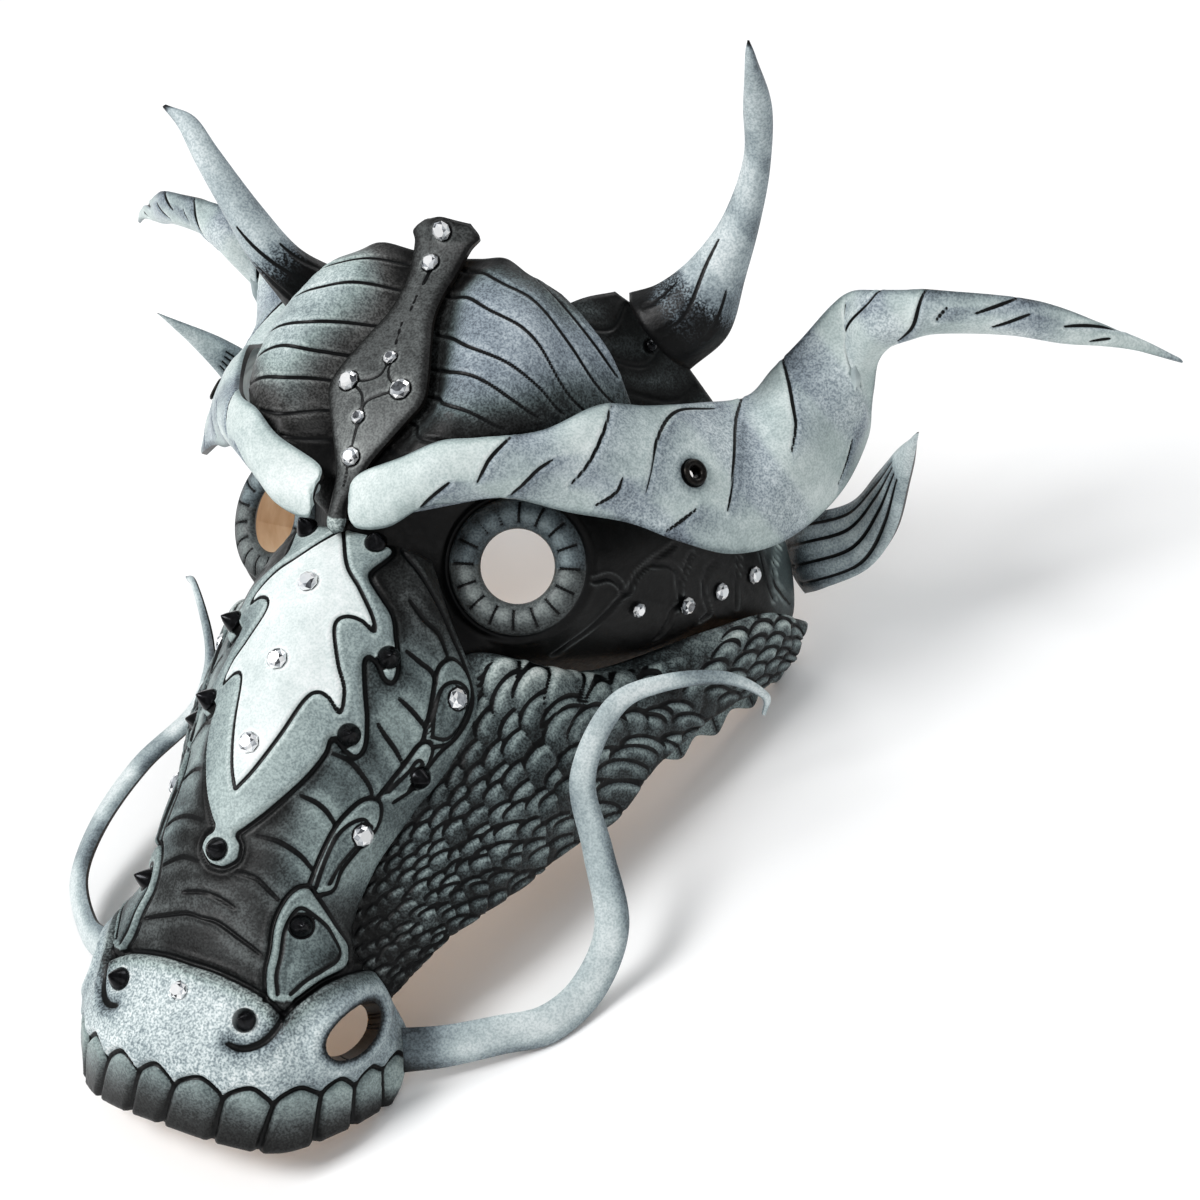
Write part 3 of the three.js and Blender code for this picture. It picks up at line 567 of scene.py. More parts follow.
def finishPiece(bm, name, nodeName, mats):
    obj = meshObject(bm, name, mats)
    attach(obj, "root")
    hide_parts(nodeName)


def leatherPair(name, piece, grid, height, paint, hole=None):
    for word, side in (("left", 1), ("right", -1)):
        leatherPiece(f"{name}_{word}", piece, grid, height, paint, side, hole)


# Hole with its rim moved onto an ellipse: points inside go out to it, faces wholly inside go away
def ovalHole(centre, long, wide, facing, longRadius, wideRadius, deep):
    def apply(p):
        offset = p - centre
        a, b, c = offset @ long / longRadius, offset @ wide / wideRadius, offset @ facing
        r = np.hypot(a, b)
        gone = (r < 1) & (abs(c) < deep)
        push = np.where(gone, 1 / np.maximum(r, 0.05) - 1, 0)[..., None]
        return p + push * (a[..., None] * long * longRadius + b[..., None] * wide * wideRadius), gone
    return apply


# Snout. Stations: along, ridge, half width, drop, back and squareness. Lines are drawn on the left half,
# u from the edge to the ridge and v from the brows to the lip.
snout = {
    "slot": "pale_leather", "columns": 180, "rows": 248, "thickness": 3.2,
    "plateHeight": 2, "lobeHeight": 1.1, "toothHeight": 1.2,
    "bandTone": 0.3, "plateTone": 0.56, "innerTone": 0.84, "lobeTone": 0.46, "noseTone": 0.78,
    "toothTone": 0.62,
    "nostril": {"at": (49, -72, -139), "facing": (0.92, -0.3, 0.25), "lean": (-0.32, -0.22, 0.92),
                "radii": (11, 6.5), "deep": 12},
    "stations": [
        (3, -7, 27, 14, 0, 2), (20, 1, 37, 27, -1, 1.7), (42, 4, 50, 41, 0, 1.5), (65, 4.8, 49, 40, 0, 1.5),
        (90, 4, 43, 35, -4, 1.7), (112, 2.4, 39, 29, -6, 2.1), (130, 0.5, 38, 29, -3, 2.3),
        (142, -0.5, 48, 38, -2, 2.3), (160, -2.5, 55, 48, -8, 2.4), (180, 0, 56, 54, -15, 2.1),
        (199, -13, 56, 39, -26, 1.9),
    ],
    # each set of carved lines: width and depth of the cut, half width of its black, how much its ends taper
    "cuts": {
        "inner": (0.8, 0.9, 0.72, 0), "outer": (0.9, 1, 0.9, 0), "nose": (0.9, 1, 0.95, 0),
        "curl": (1.5, 1.5, 1.3, 0.5), "furrows": (0.5, 0.7, 0.95, 0.3), "sides": (0.8, 0.9, 0.85, 0),
        "insets": (0.7, 0.6, 0.72, 0), "teeth": (0.85, 0.9, 0.85, 0),
    },
    "zigzagInner": drawn(
        [500, 0, 468, 27, 412, 78, 355, 108, 312, 140, 303, 162, 335, 153, 370, 153, 393, 163, 392, 182,
         363, 222, 333, 253, 323, 285, 358, 270, 385, 268, 405, 283, 432, 335, 468, 385, 500, 417],
    )[0],
    "zigzagOuter": drawn(
        [360, 0, 300, 5, 270, 18, 327, 63, 332, 82, 292, 105, 252, 130, 247, 162, 240, 195, 240, 213,
         247, 223, 265, 220, 288, 203, 307, 198, 312, 210, 293, 245, 263, 285, 245, 317, 252, 333,
         280, 330, 310, 320, 320, 323, 320, 343, 345, 380, 402, 428, 452, 465, 467, 477, 452, 490,
         450, 513, 477, 532, 500, 535],
    )[0],
    "furrows": drawn(
        [190, 100, 147, 123, 107, 135, 100, 163], [222, 173, 187, 182, 163, 188, 150, 202],
        [220, 240, 185, 250, 150, 262, 137, 268], [240, 283, 213, 295, 175, 310, 150, 322],
        [307, 337, 265, 340, 228, 350, 188, 365, 168, 378], [340, 400, 298, 403, 260, 412, 223, 428],
        [422, 470, 363, 470, 288, 482, 235, 500], [450, 533, 402, 533, 355, 547, 317, 558],
        [500, 640, 462, 640, 415, 665, 368, 690], [500, 582, 470, 585, 430, 595],
    ),
    "noseTop": drawn([500, 743, 453, 743, 403, 750, 363, 760, 318, 780])[0],
    "noseCurl": drawn([318, 780, 338, 820, 358, 840, 380, 848, 402, 846])[0],
    "noseWing": drawn([318, 780, 298, 765, 273, 750, 208, 717, 120, 684, 50, 665, 0, 655])[0],
    "sideBorder": drawn([228, 8, 125, 45, 50, 98, 35, 135, 25, 175, 20, 210, 33, 260, 63, 298, 80, 360])[0],
    "lobes": drawn(
        [128, 283, 145, 245, 152, 202, 132, 175, 73, 160, 30, 175, 30, 220, 45, 270, 90, 287],
        [153, 375, 143, 330, 133, 293, 115, 283, 88, 290, 77, 310, 70, 350, 100, 378],
        [227, 525, 228, 477, 223, 433, 210, 407, 185, 383, 147, 380, 115, 397, 98, 425, 113, 460, 132, 498,
         130, 530, 180, 540],
        [363, 765, 363, 717, 337, 647, 302, 565, 268, 533, 225, 527, 178, 543, 95, 575, 35, 608, 53, 642,
         100, 672, 200, 710, 290, 755],
    ),
    "lobeInsets": drawn(
        [113, 275, 137, 240, 135, 207, 100, 192, 58, 193, 45, 213, 50, 250, 70, 270, 113, 275],
        [140, 365, 123, 333, 118, 313, 97, 315, 85, 335, 88, 352],
        [202, 528, 207, 492, 207, 448, 192, 425, 163, 412, 138, 417, 120, 430, 150, 490, 160, 520],
        [333, 750, 330, 710, 282, 618, 252, 575, 228, 563, 177, 572, 110, 593, 83, 627, 115, 655, 185, 685,
         245, 712, 300, 745],
    ),
    # partings between teeth: place across the gum, place across the cutting edge, height of the gum
    "partings": [
        (0.0, 0.0, 0.845), (0.052, 0.023, 0.868), (0.107, 0.1, 0.902), (0.178, 0.183, 0.908),
        (0.275, 0.302, 0.922), (0.377, 0.397, 0.928), (0.462, 0.493, 0.932), (0.532, 0.566, 0.932),
        (0.606, 0.663, 0.93), (0.69, 0.755, 0.915), (0.775, 0.83, 0.908), (0.865, 0.9, 0.902),
        (0.945, 0.965, 0.868), (1.0, 1.0, 0.845),
    ],
}
snoutAlong = np.array([0, -0.6, -0.8])
snoutUp = np.array([0, -0.8, 0.6])


def snoutSection(along, ridge, half, drop, back, square):
    points = []
    for degrees in (0, 25, 45, 65, 90):
        angle = math.radians(degrees)
        x = half * math.sin(angle) ** (2 / square)
        down = drop * (1 - max(math.cos(angle), 0) ** (2 / square))
        point = snoutAlong * (along + back * (x / half) ** 6) + snoutUp * (ridge - down)
        points.append([x, point[1], point[2]])
    return bothHalves(points)[::-1]


def toothArches():
    arches = []
    for (a, _, va), (b, _, vb) in zip(snout["partings"][:-1], snout["partings"][1:]):
        top = (va + vb) / 2 - 0.02
        arches.append([(a, va), (a + (b - a) * 0.15, va * 0.4 + top * 0.6), (a + (b - a) * 0.5, top - 0.004),
                       (a + (b - a) * 0.85, vb * 0.4 + top * 0.6), (b, vb)])
    return arches


def nostrilHoles():
    hole = snout["nostril"]
    facing = unit(np.array(hole["facing"]))
    long = unit(np.cross(hole["lean"], facing))
    wide = np.cross(facing, long)
    mid = np.array(hole["at"])
    flip = np.array([-1, 1, 1])
    onLeft = ovalHole(mid, long, wide, facing, *hole["radii"], hole["deep"])
    onRight = ovalHole(mid * flip, long * flip, wide * flip, facing * flip, *hole["radii"], hole["deep"])

    def both(p):
        p, goneLeft = onLeft(p)
        p, goneRight = onRight(p)
        return p, goneLeft | goneRight

    # how far a point of the left half is from the middle, in hole radii, and how deep
    def around(p):
        offset = toLeft(p) - mid
        apart = np.hypot(offset @ long / hole["radii"][0], offset @ wide / hole["radii"][1])
        return apart, abs(offset @ facing)
    return both, around


def buildSnout():
    grid = evenGrid(surface([snoutSection(*s) for s in snout["stations"]]), snout)
    half = np.minimum(np.minimum(grid.u, 1 - grid.u), 0.4999)
    v = grid.v
    partings = [[(a, va), ((a + b) / 2, (va + 1) / 2), (b, 1)] for a, b, va in snout["partings"][1:-1]]
    arches = toothArches()
    lineSets = {"inner": [snout["zigzagInner"]], "outer": [snout["zigzagOuter"]],
                "nose": [snout["noseTop"], snout["noseWing"]], "curl": [snout["noseCurl"]],
                "furrows": snout["furrows"], "sides": [snout["sideBorder"]] + snout["lobes"],
                "insets": snout["lobeInsets"], "teeth": arches + partings}
    far = {key: reach(grid, lines, folded=key != "teeth", taper=snout["cuts"][key][3])
           for key, lines in lineSets.items()}
    inner, outer, noseLines, curl, furrows, sides, insets, teeth = far.values()
    inInner = inside(half, v, snout["zigzagInner"])
    inOuter = inside(half, v, snout["zigzagOuter"] + [(0.5, 0)])
    inLobe = np.any([inside(half, v, lobe) for lobe in snout["lobes"]], axis=0)
    inInset = np.any([inside(half, v, lobe) for lobe in snout["lobeInsets"]], axis=0)
    onNose = inside(half, v, snout["noseTop"] + snout["noseWing"][1:] + [(0, 1), (0.5, 1)])
    gum = [point for arch in arches for point in arch[:-1]] + [(1, 0.845)]
    inTooth = inside(grid.u, v, gum + [(1, 1.01), (0, 1.01)])

    height = snout["plateHeight"] * np.where(inOuter, blend(0, 2.5, outer), 0)
    height += snout["plateHeight"] * np.where(
        onNose & ~inTooth, blend(0, 3, noseLines) * blend(0, 3, teeth), 0)
    height += np.where(inLobe, snout["lobeHeight"] * blend(0, 2.2, sides), 0)
    height += np.where(inTooth, snout["toothHeight"] * blend(0, 2.6, teeth), 0)
    height += sum(cut(far[key], width, depth) for key, (width, depth, _, _) in snout["cuts"].items())

    # painted shade beside the raised plate and the nose lines, a painted highlight just past each furrow, and
    # painted sheen in pale patches on the bands between the furrows
    shade = 0.16 * hump(0, 4, outer) + 0.14 * hump(0, 5, noseLines) - 0.1 * hump(2.6, 1.6, furrows)
    paintedSheen = 0.16 * blend(0.45, 0.75, wander(grid, 14, 2)) * blend(1.5, 5, furrows) * blend(2, 7, outer)
    side = blend(0.42, 0.28, half) * blend(0.1, 0.2, v) * blend(0.6, 0.5, v)
    paint = primed(grid, snout["bandTone"] - 0.06 - shade + paintedSheen + 0.2 * side, 0.8 - 0.3 * side, 0.06)
    coat(paint, inLobe, tone=snout["lobeTone"] + 0.08 * blend(0.5, 2.5, sides), hue=0.5, speckle=0.06)
    insetTone = snout["lobeTone"] - 0.1 + 0.16 * blend(0.5, 5, insets)
    insetTone = insetTone - 0.2 * blend(0.3, 0.1, half) * blend(0.6, 0.66, v)
    coat(paint, inInset, tone=insetTone)
    # the outer plate pales toward the ridge: painted highlight
    coat(paint, inOuter, tone=snout["plateTone"] + 0.1 * blend(0.3, 0.5, half) + 0.05 * blend(1, 4, outer),
         hue=0.45, speckle=0.06)
    coat(paint, inInner, tone=snout["innerTone"] + 0.06 * blend(0, 4, inner), hue=0.4, speckle=0.035)
    pale = blend(0.12, 0.36, half)
    # painted shade along the nose lines and the curl, under the wing
    nose = snout["noseTone"] - 0.2 * (1 - pale) - 0.34 * hump(0, 3.5, noseLines) - 0.34 * hump(0, 3.5, curl)
    coat(paint, onNose, tone=nose, hue=0.3 + 0.4 * hump(0, 4, noseLines), speckle=0.075 + 0.06 * pale)
    toothTone = snout["toothTone"] - 0.42 * blend(0.9, 1.0, v) - 0.12 * hump(0, 2.2, teeth)
    toothTone = toothTone + 0.08 * hump(1.6, 0.7, teeth) * blend(1, 0.94, v)
    coat(paint, inTooth, tone=toothTone, hue=0.5 + 0.4 * blend(0.9, 1, v), speckle=0.06)
    # pale lip beside each carved line, fainter on the bands: dry-brushed paint and painted highlight
    lines = np.min([inner, outer, noseLines, sides, insets], axis=0)
    paint["tone"] = paint["tone"] + np.where(inOuter | onNose | inLobe, 0.12, 0.05) * hump(1.5, 0.4, lines)
    paint["ink"] = np.min([far[key] / black for key, (_, _, black, _) in snout["cuts"].items()], axis=0)
    # the rim of each nostril is rolled up a little, with painted shade darkening it toward the hole and a
    # painted highlight along the roll
    holes, around = nostrilHoles()
    ring, deep = around(grid.p)
    rim = (deep < 14) & (half < 0.35)
    height += np.where(rim, 1.3 * hump(1.35, 0.3, ring), 0)
    rimShade = 0.45 * blend(1.22, 1.0, ring) - 0.1 * hump(1.4, 0.15, ring)
    paint["tone"] = paint["tone"] - np.where(rim, rimShade, 0)
    leatherPiece("snout", snout, grid, height, paint, hole=holes)


# Brow dome, in rows from the snout back to the crown, half of each row
forehead = {
    "slot": "grey_leather", "columns": 210, "rows": 150, "thickness": 3.2,
    "tone": 0.6, "crestShade": 0.5, "hornShade": 0.52, "rearShade": 0.36, "cut": (0.8, 0.7), "lineHalf": 0.75,
    "guides": [
        [[0, 2.5, -1], [8, 4, -1], [22, 13, 1], [40, 28, 4], [55, 42, 5.5], [77, 76, 2]],
        [[0, 11, 14], [8, 11, 15], [24, 5, 20], [46, 17.5, 24], [63, 47, 21], [74, 76, 13]],
        [[0, 25.5, 32], [19.5, 26.5, 33], [32, 17, 38], [49, 26, 40], [61, 48, 36], [70, 72, 30]],
        [[0, 40, 46], [14, 41, 47], [30, 32, 54], [46, 42, 56], [56, 57, 51], [63, 71, 46]],
        [[0, 56, 61], [10, 56, 62], [25, 51, 69], [39, 57, 68], [47, 65, 62], [53, 71, 57]],
        [[0, 68, 72], [13, 69, 73], [25, 67, 75], [34, 68, 70], [39, 70, 67], [44, 71, 64]],
    ],
    "fans": drawn(
        [560, 940, 660, 890, 747, 810, 857, 695, 973, 378],
        [558, 815, 650, 775, 730, 708, 830, 587, 922, 340],
        [582, 667, 660, 630, 748, 558, 843, 448, 885, 340],
        [585, 540, 660, 520, 732, 492, 810, 400, 852, 330],
        [585, 438, 660, 420, 745, 375, 817, 287], [572, 352, 650, 320, 752, 263],
        [560, 278, 620, 255, 705, 225], [840, 950, 930, 750, 990, 500],
    ),
}


def buildForehead():
    grid = evenGrid(surface([bothHalves(row) for row in forehead["guides"]]), forehead)
    fans = reach(grid, forehead["fans"], folded=True, taper=0.25)
    # darker toward the crest, the horns and the rear edge: airbrushed dark paint and painted shade where
    # other pieces meet the dome
    steps = np.linspace(0, 1, 300)
    borders = (("crestShade", 10, smooth([row[1] for row in crest["guides"]], steps)),
               ("hornShade", 11, smooth([s[:3] for s in browHorn["stations"][:10]], steps)),
               ("rearShade", 12, grid.p[-1]))
    dark = sum(forehead[key] * hump(0, width, farFrom(grid, edge, folded=True))
               for key, width, edge in borders)
    tone = forehead["tone"] + 0.1 * (wander(grid, 20, 3) - 0.5) - dark
    # pale lip beside each fan groove: dry-brushed paint and painted highlight
    tone += 0.1 * hump(1.5, 0.4, fans) + 0.14 * blend(2, -8, grid.p[..., 0])
    hue = np.clip(0.12 + 1.5 * dark + 0.25 * (grid.p[..., 0] < 0), 0, 0.95)
    paint = primed(grid, tone, hue, 0.08, fans / forehead["lineHalf"])
    leatherPiece("forehead", forehead, grid, cut(fans, *forehead["cut"]), paint)


# Crest strip over the middle of the brow, half of each row
crest = {
    "slot": "dark_leather", "columns": 44, "rows": 150, "thickness": 2.6,
    "tone": 0.41, "edgeShade": 0.26, "knobTone": 0.7, "knobEnd": 0.09, "beadGap": 1.4,
    "guides": [
        [[0, -3, -5], [3, -2, -4]], [[0, -3, -1], [4, -1, -1]], [[0, 0, 5], [3.5, 1, 5]],
        [[0, 5.5, 11.5], [5, 6.5, 11.5]], [[0, 9, 18], [7.5, 10, 18]], [[0, 17.5, 30], [15.3, 19, 30]],
        [[0, 22.5, 36], [18.5, 24, 36]], [[0, 28, 42], [17, 29.5, 42]], [[0, 37, 50], [12.7, 38, 50]],
        [[0, 45, 57], [9, 46, 57]], [[0, 52, 63.5], [8.2, 53, 63]], [[0, 59, 69.5], [9.2, 60, 69]],
        [[0, 65, 77], [11, 66, 76.5]], [[0, 65, 82], [13.5, 69, 80]], [[0, 66, 86], [9, 71, 84]],
    ],
    "curves": drawn(
        [530, 525, 500, 490, 360, 465, 220, 460], [550, 525, 600, 490, 680, 470, 745, 465],
        [220, 450, 360, 430, 420, 400, 430, 360], [745, 450, 600, 430, 480, 400, 450, 360],
    ),
    "beads": drawn([450, 620, 530, 560], [450, 333, 460, 300], [470, 250, 530, 190], [490, 700, 500, 650]),
    "dash": drawn([500, 740, 500, 790]),
}


def buildCrest():
    grid = evenGrid(surface([bothHalves(row) for row in crest["guides"]]), crest)
    curves = reach(grid, crest["curves"], taper=0.3)
    beads = reach(grid, crest["beads"], gap=crest["beadGap"])
    dash = reach(grid, crest["dash"])
    height = cut(curves, 0.8, 0.5) + cut(beads, 0.5, 0.4) + cut(dash, 0.7, 0.7)
    tone = crest["tone"] + 0.1 * hump(0.3, 0.12, grid.v) - crest["edgeShade"] * hump(0, 2.4, grid.border)
    # pale lip beside each carved curve: dry-brushed paint and painted highlight
    paint = primed(grid, tone + 0.06 * hump(1.2, 0.4, curves), 0.85, 0.06)
    knobTone = crest["knobTone"] - 0.3 * hump(0, 1.5, grid.border)
    coat(paint, grid.v < crest["knobEnd"], tone=knobTone, hue=0.6, speckle=0.12)
    paint["ink"] = np.min([curves / 0.6, beads / 0.62, dash / 0.8], axis=0)
    leatherPiece("crest", crest, grid, height, paint)


# Eye mask: a domed ring round the hole with beaded strokes, running out to the temple
eyeMask = {
    "slot": "dark_leather", "columns": 320, "ringRows": 26, "outerRows": 76, "thickness": 3.2,
    "holeRadius": 11.9, "ringRadius": 23.5, "ringHeight": 5,
    "centre": (49.4, 31, -18.4), "facing": (0.33, -0.87, 0.37),
    "strokes": 16, "strokeFrom": 14.4, "strokeTo": 21.4, "beadGap": 1.15,
    "ringTone": 0.3, "ringHighlight": 0.22, "panelTone": 0.02, "rearTone": 0.4,
    "outline": [
        (0.5, 5, -2.5), (38, 32, 10), (51, 44, 11), (67, 64, 7), (79, 95, -2), (94, 138, -28), (98, 149, -68),
        (94, 122, -66), (79, 82.5, -64.5), (57, 53, -66.5), (48, 26, -57), (42, 16, -54), (38, 6, -46),
        (29, 10, -25), (10, 6, -14),
    ],
    "lines": drawn(
        [600, 692, 578, 642, 550, 618, 515, 600, 473, 587, 420, 580, 380, 590, 360, 623, 348, 657, 337, 697],
        [473, 587, 420, 570, 395, 560, 385, 538, 400, 512],
        [360, 628, 360, 662, 368, 682, 382, 682, 420, 695, 463, 718, 490, 760, 507, 800, 520, 833],
        [350, 725, 362, 705, 378, 688], [355, 788, 367, 752, 387, 740, 420, 765, 468, 813],
        [353, 848, 375, 825, 402, 823], [348, 912, 363, 908, 378, 915, 388, 928],
        [348, 980, 357, 952, 373, 932, 383, 953, 392, 985],
    ),
}
eyeCentre = np.array(eyeMask["centre"])
eyeOut = unit(np.array(eyeMask["facing"]))
eyeDown = unit(np.array([0, 0, -1]) + eyeOut * eyeOut[2])
eyeAside = np.cross(eyeDown, eyeOut)


def eyeMaskSurface(us, vs):
    edge = smooth(eyeMask["outline"], us % 1, closed=True)
    toEdge = edge - eyeCentre
    angle = np.arctan2(toEdge @ eyeDown, toEdge @ eyeAside)
    aim = eyeAside * np.cos(angle)[:, None] + eyeDown * np.sin(angle)[:, None]
    bulge = 0.05 * np.maximum(np.linalg.norm(toEdge, axis=1) - eyeMask["ringRadius"], 0)[:, None]
    rows = []
    for v in vs:
        part = v / 0.5 if v <= 0.5 else (v - 0.5) / 0.5
        if v <= 0.5:
            radius = eyeMask["holeRadius"] + (eyeMask["ringRadius"] - eyeMask["holeRadius"]) * part
            height = eyeMask["ringHeight"] * (math.sin(math.pi * (0.25 + 0.75 * part)) - 0.7 * (1 - part))
            rows.append(eyeCentre + aim * radius + eyeOut * height)
        else:
            start = eyeCentre + aim * eyeMask["ringRadius"]
            bow = np.array([0.9, -0.4, 0]) * bulge * 4 * part * (1 - part)
            rows.append(start + (edge - start) * part + bow)
    return np.array(rows)


def buildEyeMasks():
    us = np.linspace(0, 1, eyeMask["columns"] + 1)
    vs = np.concatenate([np.linspace(0, 0.5, eyeMask["ringRows"] + 1)[:-1],
                         0.5 + 0.5 * np.linspace(0, 1, eyeMask["outerRows"] + 1) ** 1.1])
    grid = laidOut(eyeMaskSurface, us, vs, ring=True)
    offset = grid.p - eyeCentre
    angle = np.arctan2(offset @ eyeDown, offset @ eyeAside)
    radius = np.hypot(offset @ eyeDown, offset @ eyeAside)
    onRing = grid.v <= 0.5
    # beads stamped in short rows that point at the eye
    turn = angle * eyeMask["strokes"] / (2 * math.pi)
    aside = abs(turn - np.round(turn)) * 2 * math.pi / eyeMask["strokes"] * radius
    steps = (radius - eyeMask["strokeFrom"]) / eyeMask["beadGap"]
    inRow = onRing & (radius > eyeMask["strokeFrom"] - 0.6) & (radius < eyeMask["strokeTo"])
    bead = np.where(inRow, np.hypot(aside, abs(steps - np.round(steps)) * eyeMask["beadGap"]), 9)
    trough = np.where(inRow, aside, 9)
    lines = reach(grid, eyeMask["lines"], taper=0.2)
    rim = np.where(grid.v < 0.75, abs(radius - eyeMask["ringRadius"] - 0.3), 9)
    height = cut(lines, 0.8, 0.9) + cut(rim, 0.9, 0.8) - 0.5 * hump(0, 0.5, bead) - 0.3 * hump(0, 0.5, trough)
    # painted highlight along the crown of the domed ring
    ringTone = eyeMask["ringTone"] + eyeMask["ringHighlight"] * hump(16.5, 3.4, radius)
    ringTone = ringTone - 0.1 * hump(0, 1.3, trough)
    # pale edges beside the temple lines, in patches: dry-brushed paint and painted highlight
    panel = eyeMask["panelTone"] + 0.4 * hump(1.7, 0.6, lines) * blend(0.2, 0.6, wander(grid, 9, 7))
    rear = blend(0.86, 0.97, grid.v) * blend(0.3, 0.335, grid.u) * blend(0.43, 0.4, grid.u)
    paint = primed(grid, panel + eyeMask["rearTone"] * rear, 0.8 - 0.3 * rear, 0.02)
    ringTone = ringTone + 0.06 * wander(grid, 8, 5)
    coat(paint, onRing, tone=ringTone, hue=0.35 + 0.4 * (offset @ eyeDown > 0), speckle=0.05)
    paint["ink"] = np.min([lines / 0.7, rim / 0.7, bead / 0.56, trough / 0.34], axis=0)
    leatherPair("eye_mask", eyeMask, grid, height, paint)


# Cheek, in rows from the nose back to the jaw corner. Scales are laid in rows, each row over the one
# above it; sizes are widths in mm at the nose, in the middle and at the back.
cheek = {
    "slot": "scale_leather", "columns": 76, "rows": 300, "thickness": 3.2,
    "noseScale": 4.8, "middleScale": 11, "backScale": 9.0, "radiusShare": 0.56, "gapShare": 0.93,
    "rowStep": 0.54, "stagger": 0.15, "lean": 16, "leanJitter": 6, "sizeJitter": 0.07,
    "lineHalf": 0.62, "squat": 1.15, "scaleHeight": 1.1, "stretch": 1.5,
    "tone": 0.2, "rimHighlightTone": 0.3, "ridgeHighlightTone": 0.3, "snoutShade": 0.12, "ridgeBare": 9,
    "guides": [
        [[31, -57, -119], [38, -57, -127], [44, -55, -134], [48, -51, -141]],
        [[32, -41, -96], [44, -38, -104], [54, -36, -115], [58, -33, -126]],
        [[35, -26, -82], [50, -22, -90], [61, -18, -105], [64, -19, -121]],
        [[38, -11, -69], [58, -6, -77], [69, 0, -95], [69, 1, -118]],
        [[40, -1, -56], [60, 8, -64], [75, 18, -88], [75, 20, -112]],
        [[44.8, 11, -42.5], [65, 24, -54], [80, 39, -76], [83, 39, -107]],
        [[64, 47, -59], [78, 53, -62], [88, 60, -76], [90, 58, -92]],
        [[92, 87.5, -53.5], [97, 89, -61], [99, 93, -72], [98, 93, -84]],
        [[101, 118, -56], [104, 118, -63], [104, 118, -73], [102, 118, -84]],
        [[104.5, 146, -69], [105, 143, -72], [105, 139, -75], [105, 136, -80]],
    ],
}


def layScales(grid):
    p, us, vs = grid.p, grid.us, grid.vs
    alongWay, acrossWay = unit(np.gradient(p, axis=0)), unit(np.gradient(p, axis=1))
    total = lengthOf(grid)
    dome, lift = np.zeros(grid.u.shape), np.zeros(grid.u.shape)
    line, shade, rim = np.full(grid.u.shape, 9.0), np.full(grid.u.shape, 0.5), np.zeros(grid.u.shape)
    for row in range(-1, 16):
        v = 0.0 if row % 2 else 0.012
        while v < 1:
            size = (cheek["noseScale"] + (cheek["middleScale"] - cheek["noseScale"]) * blend(0.02, 0.5, v)
                    - (cheek["middleScale"] - cheek["backScale"]) * blend(0.6, 0.8, v))
            size *= 1 + cheek["sizeJitter"] * random.uniform(-1, 1)
            j = round(v * (len(vs) - 1))
            down = (row + 0.5 + cheek["stagger"] * random.uniform(-1, 1)) * cheek["rowStep"] * size
            v += size * cheek["gapShare"] * cheek["stretch"] / total
            if down > grid.across[j, -1] + size * 0.3:
                continue
            i = int(np.clip(np.searchsorted(grid.across[j], down), 0, len(us) - 1))
            beyond = down - grid.across[j, i]
            lean = math.radians(cheek["lean"] + cheek["leanJitter"] * random.uniform(-1, 1))
            up = alongWay[j, i] * math.sin(lean) - acrossWay[j, i] * math.cos(lean)
            side = alongWay[j, i] * math.cos(lean) + acrossWay[j, i] * math.sin(lean)
            offset = p - (p[j, i] + acrossWay[j, i] * beyond)
            dx, dy = offset @ side / cheek["stretch"], offset @ up
            radius = size * cheek["radiusShare"]
            r = np.hypot(dx, np.maximum(dy, 0) * cheek["squat"])
            near = (r < radius + 3) & (dy > -1.5 * radius) & (np.linalg.norm(offset, axis=2) < 2.6 * radius)
            covers = near & (r < radius)
            # the black outline thickens across the top of each scale: carved line and painted shadow along
            # its raised top edge
            fade = 0.75 * (1 - blend(-0.3, 0.7, dy / radius))
            broad = 0.7 + 0.06 * size
            edge = np.where(covers, radius - r, r - radius) / broad + fade
            line = np.where(covers, edge, np.where(near, np.minimum(line, edge), line))
            dome = np.where(covers, 1 - (r / radius) ** 2, dome)
            # pale band just inside the top of each scale: painted highlight on its raised top edge
            rounded = hump(1.7 * broad, 0.16 * size, radius - r) * blend(-0.5, 0.5, dy / radius)
            rim = np.where(covers, rounded, rim)
            lift = np.where(covers, blend(-1.2, 0.9, dy / radius), lift)
            shade = np.where(covers, random.random(), shade)
    return dome, lift, line, shade, rim


def buildCheeks():
    grid = evenGrid(surface(cheek["guides"]), cheek)
    dome, lift, line, shade, rim = layScales(grid)
    u, v = grid.u, grid.v
    bare = blend(1.0, 0.5, grid.across / cheek["ridgeBare"]) * blend(0.2, 0.34, v) * blend(0.82, 0.72, v)
    bumps = cheek["scaleHeight"] * (0.55 * dome + 0.45 * lift) * (1 - bare)
    height = 0.1 + bumps - 0.8 * hump(0, 0.55, line + bare)
    # painted highlight along the cheek's upper ridge, and painted shade where the cheek meets the snout
    ridge = hump(0.58, 0.1, v) * hump(0.22, 0.16, u) + 0.7 * hump(0.85, 0.12, v) * hump(0.15, 0.2, u)
    byTheSnout = blend(0.3, 0.0, u) * blend(0.5, 0.3, v) + 0.6 * blend(0.18, 0.0, v)
    scaleTone = 0.1 * dome + cheek["rimHighlightTone"] * rim + 0.12 * (shade - 0.5)
    tone = cheek["tone"] + scaleTone * (1 - bare) + 0.08 * bare
    tone = tone + cheek["ridgeHighlightTone"] * ridge
    tone = tone - cheek["snoutShade"] * byTheSnout - 0.12 * hump(0, 2, grid.border)
    ink = line / cheek["lineHalf"] + 2 * bare
    paint = primed(grid, tone, 0.48 + 0.4 * byTheSnout + 0.2 * ridge, 0.085, ink)
    leatherPair("cheek", cheek, grid, height, paint)


